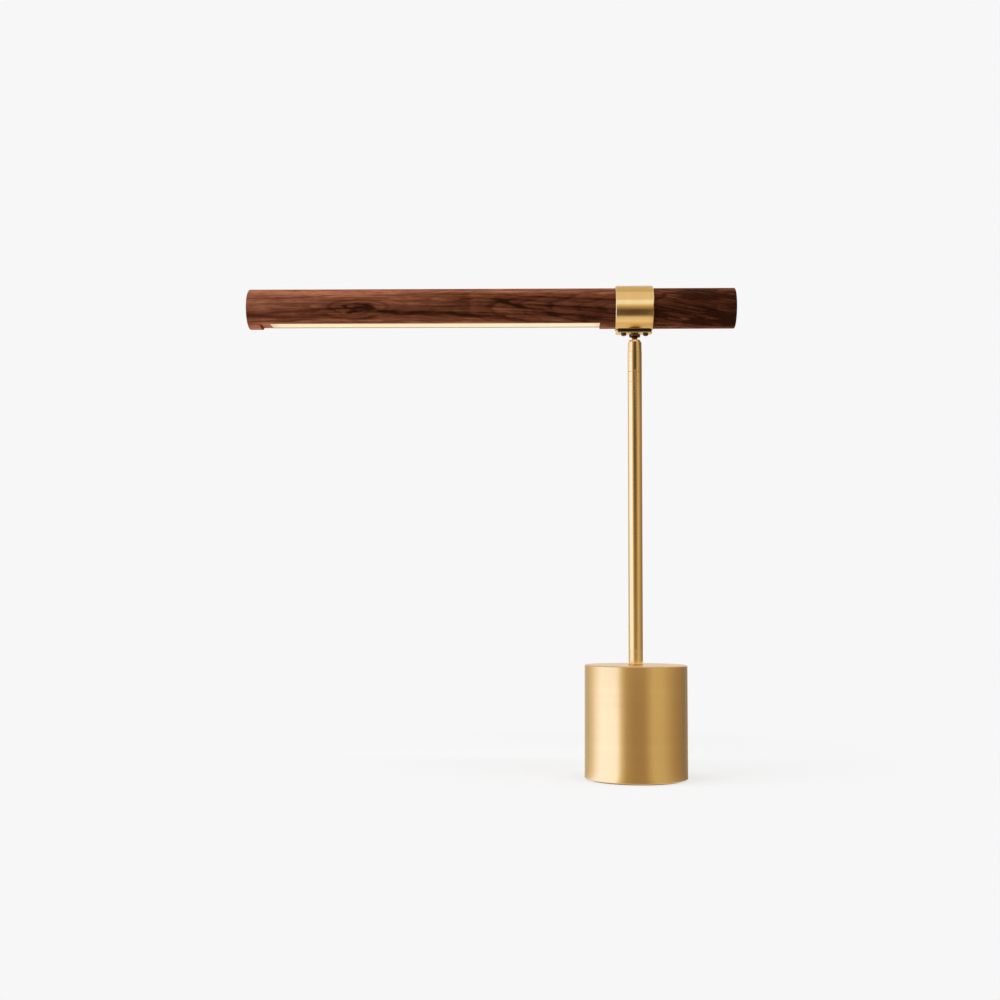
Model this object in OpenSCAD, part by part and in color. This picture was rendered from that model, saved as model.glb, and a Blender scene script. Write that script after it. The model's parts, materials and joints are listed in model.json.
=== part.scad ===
// Linear table lamp: a round wooden light bar in a brass collar, on a ball joint, stem and weighted base.
// Millimetres, Z up. The origin is the centre of the underside, on the stem's axis.
// The bar lies along X with its long lit arm towards -X, and the front of the lamp faces -Y.

/* [Base] */
// Diameter of the base shell
base_d = 100; // [92:1:120]
// Height of the top of the base above the table
base_h = 110.5; // [95:0.5:130]
// Thickness of the base shell's side wall
base_wall = 2.5; // [2:0.1:3.5]
// Thickness of the base shell's top
base_top_t = 4; // [3:0.5:6]
// Chamfer on the top and bottom edges of the base shell
base_edge = 0.8; // [0.4:0.1:1.4]
// Height of the shell's rim above the table
rim_gap = 1; // [0.6:0.1:1.4]
// Thickness of the pad that the lamp stands on
pad_t = 1.8; // [1.6:0.1:2.6]
// How far the pad's edge lies inside the bottom plate's edge
pad_inset = 1.2; // [0.6:0.1:3]
// Thickness of the steel bottom plate
bottom_t = 2; // [2:0.25:3]
// Height of the driver bay between the bottom plate and the weight
bay_h = 38; // [36:1:44]
// Diameter of the posts that carry the bottom plate
post_d = 8; // [7:0.5:9]
// Gap between the posts and the shell's wall
post_inset = 5; // [4:0.5:6]
// Length of each post's threaded tail in the weight
post_tail = 8; // [5:0.5:10]
// Thread diameter of the bottom plate's screws and of the posts' tails
plate_screw_d = 4; // [3:0.5:4.5]
// Depth of the bottom plate's screws in the posts
plate_screw_l = 10; // [6:0.5:14]

/* [Cord inlet] */
// Height of the cord inlet above the table
gland_z = 15; // [14:0.5:20]
// Bore of the cord inlet
gland_bore = 6.4; // [5:0.2:7]
// Diameter of the inlet bushing's thread
gland_d = 9; // [8.6:0.2:10]
// Diameter of the inlet bushing's flange
gland_flange_d = 12.5; // [12:0.5:14]
// Thickness of the inlet bushing's flange
gland_flange_t = 1.8; // [1.2:0.2:3]
// Depth of the flat that the flange sits on
gland_seat = 0.7; // [0.6:0.05:1]
// Thickness of the inlet bushing's nut
gland_nut_t = 3; // [2:0.25:4]
// Wall of the inlet bushing's nut, from its thread to its corners
gland_nut_wall = 2.1; // [1.8:0.1:2.4]
// Length of thread behind the nut
gland_tail = 2; // [1:0.5:3]

/* [Driver] */
// Length of the driver case
driver_l = 52; // [46:1:56]
// Width of the driver case
driver_w = 28; // [24:1:30]
// Height of the driver case
driver_h = 21; // [16:1:23]
// How far the driver sits forward of the stem's axis
driver_fwd = 3; // [0:0.5:5]
// Length of each fixing ear on the driver
ear_l = 7; // [6:0.5:8]
// Width of the fixing ears
ear_w = 10; // [8:0.5:11]
// Corner radius of the driver case and its ears
driver_corner = 2; // [1:0.25:3]
// Width and depth of the grip grooves along the driver case
driver_groove = 1.2; // [0.6:0.1:1.6]
// Distance of the grip grooves from the ends of the driver case
groove_end = 4; // [3:0.5:8]
// Thickness of the fixing ears
ear_t = 2.4; // [1.6:0.2:3]
// Thread diameter of the driver's screws
driver_screw_d = 3; // [2.5:0.5:3.5]

/* [Stem] */
// Diameter of the stem, the coupling and the socket
stem_d = 14; // [13.8:0.1:16.5]
// Length of the stem tube
stem_len = 278.8; // [200:0.2:320]
// Chamfer on the ends of the stem, the coupling and the socket body
seam_edge = 0.2; // [0.1:0.05:0.3]
// Diameter of the hollow tie rod and of the stem's bore thread
tie_d = 10; // [9:0.25:10.5]
// Bore of the tie rod
tie_bore = 6.4; // [5.4:0.2:6.8]
// Length of the tie rod and of the coupling inside the stem
stem_grip = 16; // [10:1:24]
// Thickness of the tie rod's washer
washer_t = 1.5; // [1:0.25:2]
// Diameter of the tie rod's washer
washer_d = 24; // [20:0.5:28]
// Thickness of the tie rod's nut
tie_nut_h = 6; // [4:0.5:6.5]
// Distance across the flats of the tie rod's nut
tie_nut_af = 16; // [14:0.5:17]
// Length of the tie rod below its nut
tie_tail = 1.5; // [0.5:0.25:2]
// Diameter of the lead inside the stem
lead_d = 4.2; // [3:0.2:4.4]
// Gap between the end of the lead and the disc springs
lead_stop = 1; // [0.6:0.1:2]

/* [Ball joint] */
// Height of the fixed ring below the joint's turning seam
coupling_h = 10; // [8:0.5:14]
// Height of the turning socket body
socket_h = 20; // [18:0.2:26]
// Height of the tapered socket cap
cap_h = 11.9; // [11.6:0.1:14]
// How far the socket cap narrows from its foot to its nose
cap_taper = 0.9; // [0.7:0.05:0.9]
// How far the socket cap narrows from its foot to its shoulder
shoulder_taper = 0.2; // [0.1:0.05:0.4]
// Height of the cap's sloping shoulder below its nose
shoulder_h = 2.2; // [1.6:0.1:3]
// Step from the socket body in to the foot of the cap
cap_step = 0.1; // [0.05:0.05:0.2]
// Radius on the rim of the cap's nose
nose_round = 0.25; // [0.1:0.05:0.28]
// Height of the cap's nose above the ball's centre
cap_over = 3.4; // [3.2:0.1:3.6]
// Height of the retaining lip above the ball's centre
lip_up = 2.6; // [2.5:0.05:2.8]
// Widening of the mouth from the lip to the nose
mouth_flare = 0.85; // [0.7:0.05:0.95]
// Diameter of the ball
ball_d = 9.6; // [9.4:0.05:9.6]
// Thickness of the ball's nylon liner
liner_t = 0.38; // [0.3:0.02:0.4]
// Half angle of the liner's upper opening
liner_open_top = 64; // [58:1:66]
// Half angle of the liner's lower opening
liner_open_low = 45; // [40:1:50]
// Diameter of the ball stud's neck
neck_d = 5.2; // [4.6:0.1:5.2]
// Bore of the ball stud
stud_bore = 3; // [2.6:0.1:3.2]
// Height of the neck above the ball's centre
neck_h = 5.8; // [5.6:0.1:6]
// Height of the cone above the neck
cone_h = 1.2; // [1.2:0.1:1.8]
// Diameter of the flange on the ball stud
stud_flange_d = 11; // [9:0.2:11.4]
// Thickness of the flange on the ball stud
stud_flange_t = 2.2; // [1:0.1:3]
// Diameter of the boss between the flange and the saddle plate
boss_d = 7; // [6.8:0.1:9]
// Height of the saddle plate above the ball's centre
stud_rise = 10.3; // [9.6:0.1:14]
// Thread diameter of the ball stud's shank
shank_d = 6; // [5:0.25:6.5]
// Thickness of the ball stud's nut
stud_nut_h = 4; // [3:0.25:5]
// Length of the ball stud above its nut
stud_tail = 1; // [0.5:0.25:1.5]
// Gap round the nut in its pocket
pocket_gap = 0.8; // [0.5:0.1:1]
// Distance across the flats of the ball stud's nut
stud_nut_af = 10; // [9.4:0.2:10.6]
// How far the pressure cup's rim lies below the ball's centre
cup_drop = 2.6; // [2.4:0.1:3]
// Depth of the pressure cup below the ball's centre
cup_depth = 8.4; // [7.8:0.1:9]
// Bore of the pressure cup, the springs and the socket's web
lead_way_d = 5.4; // [5:0.1:5.6]
// Number of disc springs
spring_n = 4; // [2:2:6]
// Thickness of a disc spring
spring_t = 0.45; // [0.35:0.05:0.5]
// Cone height of a disc spring
spring_rise = 0.4; // [0.25:0.05:0.4]
// Depth of the thread between the socket body and the cap
spigot_h = 3.5; // [3:0.1:4]
// Wall of the threaded spigot on the socket body
spigot_wall = 0.7; // [0.6:0.02:0.74]
// Diameter of the journal that the socket turns on
journal_d = 9.8; // [9:0.1:10]
// Height of the journal
journal_h = 9; // [8:0.25:9.5]
// Height of the journal's groove above the seam
groove_up = 3; // [2.5:0.1:3.2]
// Width of the journal's groove
groove_w = 3.2; // [3:0.1:3.4]
// Depth of the journal's groove
groove_depth = 0.9; // [0.8:0.05:1]
// Diameter of the socket's set screw
set_d = 2.5; // [2:0.1:2.6]
// Turn of the socket to each side before the set screw meets the stop rib
swivel_max = 160; // [150:1:160]

/* [Collar] */
// Outer diameter of the collar
collar_d = 46; // [45:0.2:50]
// Width of the collar along the bar
collar_w = 37.2; // [34:0.1:45]
// How far the collar's middle lies from the stem's axis towards the long arm
collar_shift = 0.9; // [0:0.1:1.2]
// Chamfer on the collar's edges
collar_edge = 0.6; // [0.2:0.1:0.8]
// Depth of the flat under the collar
collar_flat = 0.5; // [0.3:0.05:0.7]
// Thickness of the black gasket under the collar
gasket_t = 2; // [0.8:0.1:2]
// Width of the gasket across the bar
gasket_w = 9; // [8.2:0.2:11]
// How far the gasket's ends lie inside the saddle plate's
gasket_inset = 0.4; // [0.2:0.1:1]
// Thickness of the saddle plate
saddle_t = 0.8; // [0.8:0.1:2]
// Width of the saddle plate across the bar
saddle_w = 11.6; // [11.2:0.2:16]
// Corner radius of the saddle plate and the gasket
saddle_corner = 4; // [2:0.25:4.25]
// How far the saddle plate's ends lie inside the collar's edges
saddle_inset = 0.6; // [0.2:0.1:1]
// Distance between the saddle screws
saddle_pitch = 21.8; // [20:0.2:23]
// Diameter of the saddle screws' heads
saddle_head_d = 5.2; // [4.6:0.1:5.6]
// Height of the saddle screws' heads
saddle_head_h = 2.2; // [1.4:0.1:2.4]
// Thread diameter of the saddle screws
saddle_screw_d = 3; // [2.5:0.25:3.5]
// Depth of the saddle screws in the wood
saddle_grip = 6; // [4:0.5:6.5]

/* [Light bar] */
// Diameter of the wooden bar
bar_d = 40.2; // [39:0.1:40.8]
// Length of the bar's long arm from the stem's axis
bar_long = 386.2; // [300:0.2:460]
// Length of the bar's short arm from the stem's axis
bar_short = 99.2; // [60:0.2:140]
// Radius on the bar's end edges
bar_round = 1.2; // [0.6:0.1:2.5]
// Distance of the milled flat below the bar's axis
flat_drop = 16.4; // [15.8:0.1:16.8]
// Distance from the bar's free end to the start of the flat
flat_margin = 12.8; // [8:0.2:30]
// Distance from the stem's axis to the near end of the flat
flat_near = 34.6; // [30:0.2:50]

/* [Light strip] */
// Width of the slot for the light strip's channel
slot_w = 19; // [17:0.2:20]
// Depth of the slot
slot_h = 8; // [7.6:0.1:9]
// Distance from the start of the flat to the start of the slot
slot_margin = 9.5; // [3:0.5:15]
// Wall thickness of the aluminium channel
channel_t = 1.2; // [1:0.1:1.5]
// Thickness of the channel's end caps
end_cap_t = 1.2; // [1:0.1:2]
// Width of the ledges that carry the diffuser
ledge_w = 0.8; // [0.5:0.1:1.2]
// Height of the ledges that carry the diffuser
ledge_h = 1; // [0.6:0.1:1.2]
// Thickness of the diffuser's face
diffuser_t = 1.5; // [1:0.1:1.8]
// Thickness of the diffuser's legs
leg_t = 1; // [0.6:0.1:1.2]
// Length of the diffuser's legs
leg_h = 1.6; // [1.2:0.1:1.8]
// Width of the circuit board
board_w = 10; // [8:0.5:11]
// Thickness of the circuit board
board_t = 1; // [0.8:0.1:1.2]
// Distance of the circuit board from the ends of the channel
board_margin = 3; // [1:0.5:6]
// Distance of the outer diodes from the ends of the circuit board
led_margin = 8; // [5:0.5:20]
// Number of light-emitting diodes
led_n = 44; // [12:1:60]
// Length of a diode along the bar
led_l = 2.8; // [2:0.1:3.4]
// Width of a diode across the bar
led_w = 3.5; // [2:0.1:3.6]
// Height of a diode
led_h = 0.7; // [0.5:0.1:0.8]
// Number of screws that hold the channel
channel_screw_n = 3; // [2:1:5]
// Distance of the outer screws from the ends of the channel
channel_screw_margin = 30; // [15:1:60]
// Thread diameter of the channel's screws
channel_screw_d = 2.4; // [2:0.1:2.6]
// Depth of the channel's screws in the wood
channel_screw_l = 7; // [4:0.5:8]
// Diameter of the lead in the head
head_lead_d = 2.2; // [1.6:0.1:2.2]
// Length of the lead along the end of the circuit board
lead_reach = 4.5; // [2:0.5:6]
// Bore of the lead's way through the wood
head_way_d = 3.4; // [2.8:0.1:3.6]

/* [Clearances] */
// Radial gap between the ball and its liner
ball_clear = 0.02; // [0.02:0.01:0.03]
// Radial gap between the liner and its cavity
liner_clear = 0.04; // [0.03:0.01:0.05]
// Radial gap between the journal and the socket
turn_clear = 0.04; // [0.03:0.01:0.08]
// Gap at the turning seam
seam_gap = 0.15; // [0.1:0.05:0.3]
// Radial gap in a screwed joint
thread_clear = 0.04; // [0.03:0.01:0.06]
// Gap round a piece that drops into its place
drop_clear = 0.25; // [0.15:0.05:0.3]
// Radial gap between the bar and the collar
collar_clear = 0.08; // [0.05:0.01:0.12]
// Angle left between the set screw and the stop rib at the end of the turn
stop_clear = 0.6; // [0.3:0.1:0.9]
// Gap round the light strip in its slot
slot_clear = 0.15; // [0.1:0.05:0.2]

/* [Hidden] */
$fn = 96;
eps = 0.5;
head_ratio = 0.95;
recess_depth = 0.6;
drive_slot = 0.8;
post_angles = [35, 145, 270];

base_r = base_d / 2;
base_ri = base_r - base_wall;
plate_z = pad_t;
bay_z = plate_z + bottom_t;
weight_z = bay_z + bay_h;
shell_top_z = base_h - base_top_t;
post_r = base_ri - post_d / 2 - post_inset;
tie_low_z = weight_z - washer_t - tie_nut_h - tie_tail;
driver_top_z = bay_z + driver_h;
gland_face_y = base_r - gland_seat;
gland_nut_d = gland_d + 2 * gland_nut_wall;
gland_nut_y = sqrt(base_ri * base_ri - gland_nut_d * gland_nut_d / 4) - thread_clear;
gland_in_y = gland_nut_y - gland_nut_t - gland_tail;

stem_r = stem_d / 2;
stem_bore = tie_d + 2 * thread_clear;
stem_top_z = base_h + stem_len;
seam_z = stem_top_z + coupling_h;
cap_z = seam_z + socket_h;
nose_z = cap_z + cap_h;
ball_z = nose_z - cap_over;

ball_r = ball_d / 2;
liner_ri = ball_r + ball_clear;
liner_ro = liner_ri + liner_t;
cavity_r = liner_ro + liner_clear;
lip_r = sqrt(cavity_r * cavity_r - lip_up * lip_up);
cap_foot_r = stem_r - cap_step;
cap_nose_r = cap_foot_r - cap_taper;
shoulder_r = cap_foot_r - shoulder_taper;
spigot_r = cavity_r + spigot_wall;
cup_r = cavity_r - turn_clear;
cup_low_z = ball_z - cup_depth;
spring_step = spring_t + spring_rise;
spring_z = cup_low_z - spring_n * spring_step;
spring_r = cavity_r - turn_clear;
journal_r = journal_d / 2;
groove_r = journal_r - groove_depth;
groove_z = seam_z + groove_up;
set_tip_r = groove_r + drop_clear;
set_head_r = stem_r - drop_clear;
set_half = asin(set_d / 2 / set_tip_r);
rib_half = 180 - swivel_max - set_half - stop_clear;

saddle_z = ball_z + stud_rise;
gasket_z = saddle_z + saddle_t;
collar_flat_z = gasket_z + gasket_t;
collar_r = collar_d / 2;
bar_z = collar_flat_z + collar_r - collar_flat;
bar_r = bar_d / 2;
collar_ri = bar_r + collar_clear;
saddle_l = collar_w - 2 * saddle_inset;
gasket_l = saddle_l - 2 * collar_shift - 2 * gasket_inset;
nut_seat_z = bar_z - collar_ri;
nut_top_z = nut_seat_z + stud_nut_h;
stud_top_z = nut_top_z + stud_tail;
pocket_r = stud_nut_af / sqrt(3) + pocket_gap;
saddle_head_z = saddle_z - saddle_head_h;

flat_z = bar_z - flat_drop;
flat_x0 = flat_margin - bar_long;
flat_x1 = -flat_near;
slot_x0 = flat_x0 + slot_margin;
slot_top_z = flat_z + slot_h;
channel_w = slot_w - 2 * slot_clear;
channel_h = slot_h - slot_clear;
channel_x0 = slot_x0 + slot_clear + end_cap_t;
channel_x1 = flat_x1 - slot_clear - end_cap_t;
channel_l = channel_x1 - channel_x0;
channel_mid = (channel_x0 + channel_x1) / 2;
channel_floor_z = flat_z + channel_h - channel_t;
inner_w = channel_w - 2 * channel_t;
ledge_z = flat_z + diffuser_t;
board_z = channel_floor_z - board_t;
board_l = channel_l - 2 * board_margin;
led_pitch = (board_l - 2 * led_margin) / (led_n - 1);
channel_screw_pitch = (channel_l - 2 * channel_screw_margin) / (channel_screw_n - 1);
head_lead_z = board_z - head_lead_d / 2 - ball_clear;
lead_end_x = channel_x1 - board_margin - min(lead_reach, led_margin - led_l / 2 - drop_clear);
saddle_tip_z = min(bar_z - bar_r + saddle_grip, head_lead_z - head_way_d / 2 - drop_clear);

// A ring between two radii
module ring(ro, ri, h) {
    difference() {
        cylinder(h = h, r = ro);
        translate([0, 0, -eps])
            cylinder(h = h + 2 * eps, r = ri);
    }
}

// A cylinder with chamfered ends
module edged_rod(r, h, edge) {
    rotate_extrude()
        polygon([[0, 0], [r - edge, 0], [r, edge], [r, h - edge], [r - edge, h], [0, h]]);
}

// A cylinder along +Y from the origin
module rod_y(r, l) {
    rotate([-90, 0, 0])
        cylinder(h = l, r = r);
}

// A cylinder along +X from the origin
module rod_x(r, l) {
    rotate([0, 90, 0])
        cylinder(h = l, r = r);
}

// A hexagonal prism measured across its flats
module hex(af, h) {
    cylinder(h = h, d = 2 * af / sqrt(3), $fn = 6);
}

// A rectangle with round corners, lying centred on the XY plane
module round_slab(l, w, corner, h) {
    translate([-l / 2 + corner, -w / 2, 0])
        cube([l - 2 * corner, w, h]);
    translate([-l / 2, -w / 2 + corner, 0])
        cube([l, w - 2 * corner, h]);
    for (sx = [-1, 1], sy = [-1, 1])
        translate([sx * (l / 2 - corner), sy * (w / 2 - corner), 0])
            cylinder(h = h, r = corner);
}

// Places its children at each bottom-plate post
module at_posts() {
    for (a = post_angles)
        rotate([0, 0, a])
            translate([post_r, 0, 0])
                children();
}

// Places its children at each driver ear's hole
module at_ears() {
    for (s = [-1, 1])
        translate([s * (driver_l + ear_l) / 2, -driver_fwd, bay_z])
            children();
}

// Places its children at each saddle screw
module at_saddle() {
    for (s = [-1, 1])
        translate([s * saddle_pitch / 2, 0, 0])
            children();
}

// Places its children at each channel screw
module at_channel() {
    for (i = [0 : channel_screw_n - 1])
        translate([channel_mid + (i - (channel_screw_n - 1) / 2) * channel_screw_pitch, 0, 0])
            children();
}

module base_shell() {
    color("#c9a24e")
        difference() {
            translate([0, 0, rim_gap])
                edged_rod(base_r, base_h - rim_gap, base_edge);
            translate([0, 0, rim_gap - eps])
                cylinder(h = shell_top_z - rim_gap + eps, r = base_ri);
            cylinder(h = base_h + eps, r = tie_d / 2 + drop_clear);
            translate([0, base_ri - base_wall, gland_z])
                rod_y(gland_d / 2 + drop_clear, 3 * base_wall);
            translate([0, gland_face_y, gland_z])
                rod_y(gland_flange_d / 2 + drop_clear, base_wall);
        }
}

module base_weight() {
    color("#4a4a4c")
        difference() {
            translate([0, 0, weight_z])
                cylinder(h = shell_top_z - weight_z, r = base_ri - drop_clear);
            translate([0, 0, weight_z - eps])
                cylinder(h = shell_top_z - weight_z + 2 * eps, r = tie_d / 2 + drop_clear);
            at_posts()
                translate([0, 0, weight_z - eps])
                    cylinder(h = post_tail + 2 * eps, r = plate_screw_d / 2 + thread_clear);
        }
}

module base_plate() {
    color("#8d9094")
        difference() {
            translate([0, 0, plate_z])
                cylinder(h = bottom_t, r = base_ri - drop_clear);
            at_posts()
                translate([0, 0, plate_z - eps])
                    cylinder(h = bottom_t + 2 * eps, r = plate_screw_d / 2 + drop_clear);
            at_posts()
                translate([0, 0, plate_z])
                    cylinder(h = bottom_t, r1 = plate_screw_d / 2 + bottom_t, r2 = plate_screw_d / 2);
            at_ears()
                translate([0, 0, -bottom_t - eps])
                    cylinder(h = bottom_t + 2 * eps, r = driver_screw_d / 2 + thread_clear);
        }
}

module plate_standoffs() {
    color("#b9bcc0")
        at_posts()
            difference() {
                union() {
                    translate([0, 0, bay_z])
                        cylinder(h = bay_h, d = post_d);
                    translate([0, 0, weight_z])
                        cylinder(h = post_tail, d = plate_screw_d);
                }
                translate([0, 0, bay_z - eps])
                    cylinder(h = plate_screw_l + 2 * eps, r = plate_screw_d / 2 + thread_clear);
            }
}

module plate_screws() {
    color("#9a9da1")
        at_posts()
            difference() {
                union() {
                    translate([0, 0, plate_z + thread_clear])
                        cylinder(h = bottom_t - thread_clear,
                            r1 = plate_screw_d / 2 + bottom_t - 2 * thread_clear,
                            r2 = plate_screw_d / 2 - thread_clear);
                    translate([0, 0, plate_z + bottom_t / 2])
                        cylinder(h = bottom_t / 2 + plate_screw_l, d = plate_screw_d);
                }
                translate([0, 0, plate_z - eps])
                    hex(plate_screw_d / 2, eps + recess_depth * bottom_t);
            }
}

module foot_pad() {
    color("#2b2b2d")
        cylinder(h = pad_t, r = base_ri - drop_clear - pad_inset);
}

module cord_gland() {
    color("#222222")
        translate([0, 0, gland_z])
            difference() {
                union() {
                    translate([0, gland_in_y, 0])
                        rod_y(gland_d / 2, gland_face_y - gland_in_y + gland_flange_t / 2);
                    translate([0, gland_face_y, 0])
                        rod_y(gland_flange_d / 2, gland_flange_t / 2);
                    translate([0, gland_face_y + gland_flange_t / 2, 0])
                        rotate([-90, 0, 0])
                            cylinder(h = gland_flange_t / 2,
                                d1 = gland_flange_d,
                                d2 = gland_flange_d - gland_flange_t);
                }
                translate([0, gland_in_y - eps, 0])
                    rod_y(gland_bore / 2, base_r - gland_in_y + gland_flange_t + 2 * eps);
            }
}

module gland_nut() {
    color("#222222")
        translate([0, gland_nut_y - gland_nut_t, gland_z])
            rotate([-90, 0, 0])
                difference() {
                    hex(gland_nut_d * sqrt(3) / 2, gland_nut_t);
                    translate([0, 0, -eps])
                        cylinder(h = gland_nut_t + 2 * eps, r = gland_d / 2 + thread_clear);
                }
}

module led_driver() {
    color("#e4e2da")
        translate([0, -driver_fwd, bay_z])
            difference() {
                union() {
                    round_slab(driver_l, driver_w, driver_corner, driver_h);
                    round_slab(driver_l + 2 * ear_l, ear_w, driver_corner, ear_t);
                }
                for (s = [-1, 1])
                    translate([s * (driver_l + ear_l) / 2, 0, -eps])
                        cylinder(h = ear_t + 2 * eps, r = driver_screw_d / 2 + drop_clear);
                for (s = [-1, 1], z = [driver_h / 3, driver_h * 2 / 3])
                    translate([groove_end - driver_l / 2, s * driver_w / 2 - driver_groove / 2, z])
                        cube([driver_l - 2 * groove_end, driver_groove, driver_groove]);
            }
}

module driver_screws() {
    head_r = driver_screw_d * head_ratio;
    color("#9a9da1")
        at_ears()
            difference() {
                union() {
                    translate([0, 0, ear_t])
                        cylinder(h = driver_screw_d / 2, r1 = head_r, r2 = head_r - driver_screw_d / 6);
                    translate([0, 0, -bottom_t])
                        cylinder(h = bottom_t + ear_t + driver_screw_d / 4, d = driver_screw_d);
                }
                translate([-head_r, -drive_slot / 2, ear_t + driver_screw_d / 4])
                    cube([2 * head_r, drive_slot, driver_screw_d]);
            }
}

module tie_tube() {
    color("#b9bcc0")
        translate([0, 0, tie_low_z])
            ring(tie_d / 2, tie_bore / 2, base_h + stem_grip - tie_low_z);
}

module tie_washer() {
    color("#9a9da1")
        translate([0, 0, weight_z - washer_t])
            ring(washer_d / 2, tie_d / 2 + drop_clear, washer_t);
}

module tie_nut() {
    color("#b9bcc0")
        translate([0, 0, weight_z - washer_t - tie_nut_h])
            difference() {
                hex(tie_nut_af, tie_nut_h);
                translate([0, 0, -eps])
                    cylinder(h = tie_nut_h + 2 * eps, r = tie_d / 2 + thread_clear);
            }
}

module stem_tube() {
    color("#c9a24e")
        translate([0, 0, base_h])
            difference() {
                edged_rod(stem_r, stem_len, seam_edge);
                translate([0, 0, -eps])
                    cylinder(h = stem_len + 2 * eps, d = stem_bore);
            }
}

module stem_lead() {
    color("#f1efe8")
        translate([0, 0, driver_top_z])
            cylinder(h = spring_z - lead_stop - driver_top_z, d = lead_d);
}

module joint_coupling() {
    color("#c9a24e")
        difference() {
            union() {
                translate([0, 0, stem_top_z - stem_grip])
                    cylinder(h = stem_grip + eps, d = tie_d);
                translate([0, 0, stem_top_z])
                    edged_rod(stem_r, coupling_h, seam_edge);
                translate([0, 0, seam_z - eps])
                    cylinder(h = groove_up + eps, r = journal_r);
                translate([0, 0, seam_z])
                    cylinder(h = journal_h, r = groove_r);
                translate([0, 0, groove_z + groove_w])
                    cylinder(h = journal_h - groove_up - groove_w, r = journal_r);
                stop_rib();
            }
            translate([0, 0, stem_top_z - stem_grip - eps])
                cylinder(h = stem_grip + coupling_h + journal_h + 2 * eps, d = lead_way_d);
        }
}

// The rib across the journal's groove that stops the set screw, at the front
module stop_rib() {
    half_w = journal_r * sin(rib_half);
    intersection() {
        translate([0, 0, groove_z - eps])
            cylinder(h = groove_w + 2 * eps, r = journal_r);
        translate([-half_w, -journal_r, groove_z - eps])
            cube([2 * half_w, journal_r - lead_way_d / 2 - eps, groove_w + 2 * eps]);
    }
}

module socket_body() {
    body_z = seam_z + seam_gap;
    color("#c9a24e")
        difference() {
            union() {
                translate([0, 0, body_z])
                    edged_rod(stem_r, cap_z - body_z, seam_edge);
                translate([0, 0, cap_z - eps])
                    cylinder(h = spigot_h + eps, r = spigot_r);
            }
            translate([0, 0, body_z - eps])
                cylinder(h = journal_h + 2 * eps, r = journal_r + turn_clear);
            translate([0, 0, body_z])
                cylinder(h = cap_z - body_z, d = lead_way_d);
            translate([0, 0, spring_z])
                cylinder(h = cap_z + spigot_h - spring_z + eps, r = cavity_r);
            translate([0, 0, groove_z + groove_w / 2])
                rod_y(set_d / 2 + thread_clear, stem_r + eps);
        }
}

module swivel_set_screw() {
    color("#6f6f72")
        translate([0, 0, groove_z + groove_w / 2])
            difference() {
                translate([0, set_tip_r, 0])
                    rod_y(set_d / 2, set_head_r - set_tip_r);
                translate([0, set_head_r - recess_depth, 0])
                    rotate([-90, 0, 0])
                        hex(set_d / 2, 2 * recess_depth);
            }
}

module socket_cap() {
    taper_h = cap_h - nose_round;
    shoulder_z = cap_h - shoulder_h;
    pocket_h = spigot_h + drop_clear;
    color("#c9a24e")
        difference() {
            translate([0, 0, cap_z]) {
                rotate_extrude()
                    polygon([[0, 0], [cap_foot_r, 0], [shoulder_r, shoulder_z],
                             [cap_nose_r, taper_h], [0, taper_h]]);
                cylinder(h = cap_h, r = cap_nose_r - nose_round);
                translate([0, 0, taper_h])
                    rotate_extrude()
                        translate([cap_nose_r - nose_round, 0])
                            circle(r = nose_round);
            }
            translate([0, 0, cap_z - eps])
                cylinder(h = pocket_h + eps, r = spigot_r + thread_clear);
            translate([0, 0, cap_z])
                cylinder(h = ball_z - cap_z, r = cavity_r);
            translate([0, 0, ball_z])
                sphere(r = cavity_r);
            translate([0, 0, ball_z + lip_up])
                cylinder(h = cap_over - lip_up, r1 = lip_r, r2 = lip_r + mouth_flare);
        }
}

module pressure_cup() {
    color("#b08d3e")
        difference() {
            translate([0, 0, cup_low_z])
                cylinder(h = cup_depth - cup_drop, r = cup_r);
            translate([0, 0, ball_z])
                sphere(r = cavity_r);
            translate([0, 0, cup_low_z - eps])
                cylinder(h = cup_depth, d = lead_way_d);
        }
}

module disc_springs() {
    ri = lead_way_d / 2;
    color("#8d9094")
        for (i = [0 : spring_n - 1])
            translate([0, 0, spring_z + i * spring_step])
                rotate_extrude()
                    if (i % 2 == 0)
                        polygon([[ri, spring_rise], [spring_r, 0], [spring_r, spring_t], [ri, spring_step]]);
                    else
                        polygon([[ri, 0], [spring_r, spring_rise], [spring_r, spring_step], [ri, spring_t]]);
}

module ball_liner() {
    color("#f3f1e6")
        translate([0, 0, ball_z])
            difference() {
                sphere(r = liner_ro);
                sphere(r = liner_ri);
                cylinder(h = liner_ro, r1 = 0, r2 = liner_ro * tan(liner_open_top));
                mirror([0, 0, 1])
                    cylinder(h = liner_ro, r1 = 0, r2 = liner_ro * tan(liner_open_low));
            }
}

module ball_stud() {
    color("#3a3026")
        difference() {
            translate([0, 0, ball_z]) {
                sphere(r = ball_r);
                cylinder(h = neck_h, d = neck_d);
                translate([0, 0, neck_h])
                    cylinder(h = cone_h, d1 = neck_d, d2 = stud_flange_d);
                translate([0, 0, neck_h + cone_h])
                    cylinder(h = stud_flange_t, d = stud_flange_d);
                translate([0, 0, neck_h + cone_h])
                    cylinder(h = stud_rise - neck_h - cone_h, d = boss_d);
                cylinder(h = stud_top_z - ball_z, d = min(shank_d, neck_d));
                translate([0, 0, stud_rise])
                    cylinder(h = stud_top_z - saddle_z, d = shank_d);
            }
            translate([0, 0, ball_z - ball_r - eps])
                cylinder(h = stud_top_z - ball_z + ball_r + 2 * eps, d = stud_bore);
        }
}

module stud_nut() {
    color("#b9bcc0")
        translate([0, 0, nut_seat_z])
            difference() {
                hex(stud_nut_af, stud_nut_h);
                translate([0, 0, -eps])
                    cylinder(h = stud_nut_h + 2 * eps, r = shank_d / 2 + thread_clear);
            }
}

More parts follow.
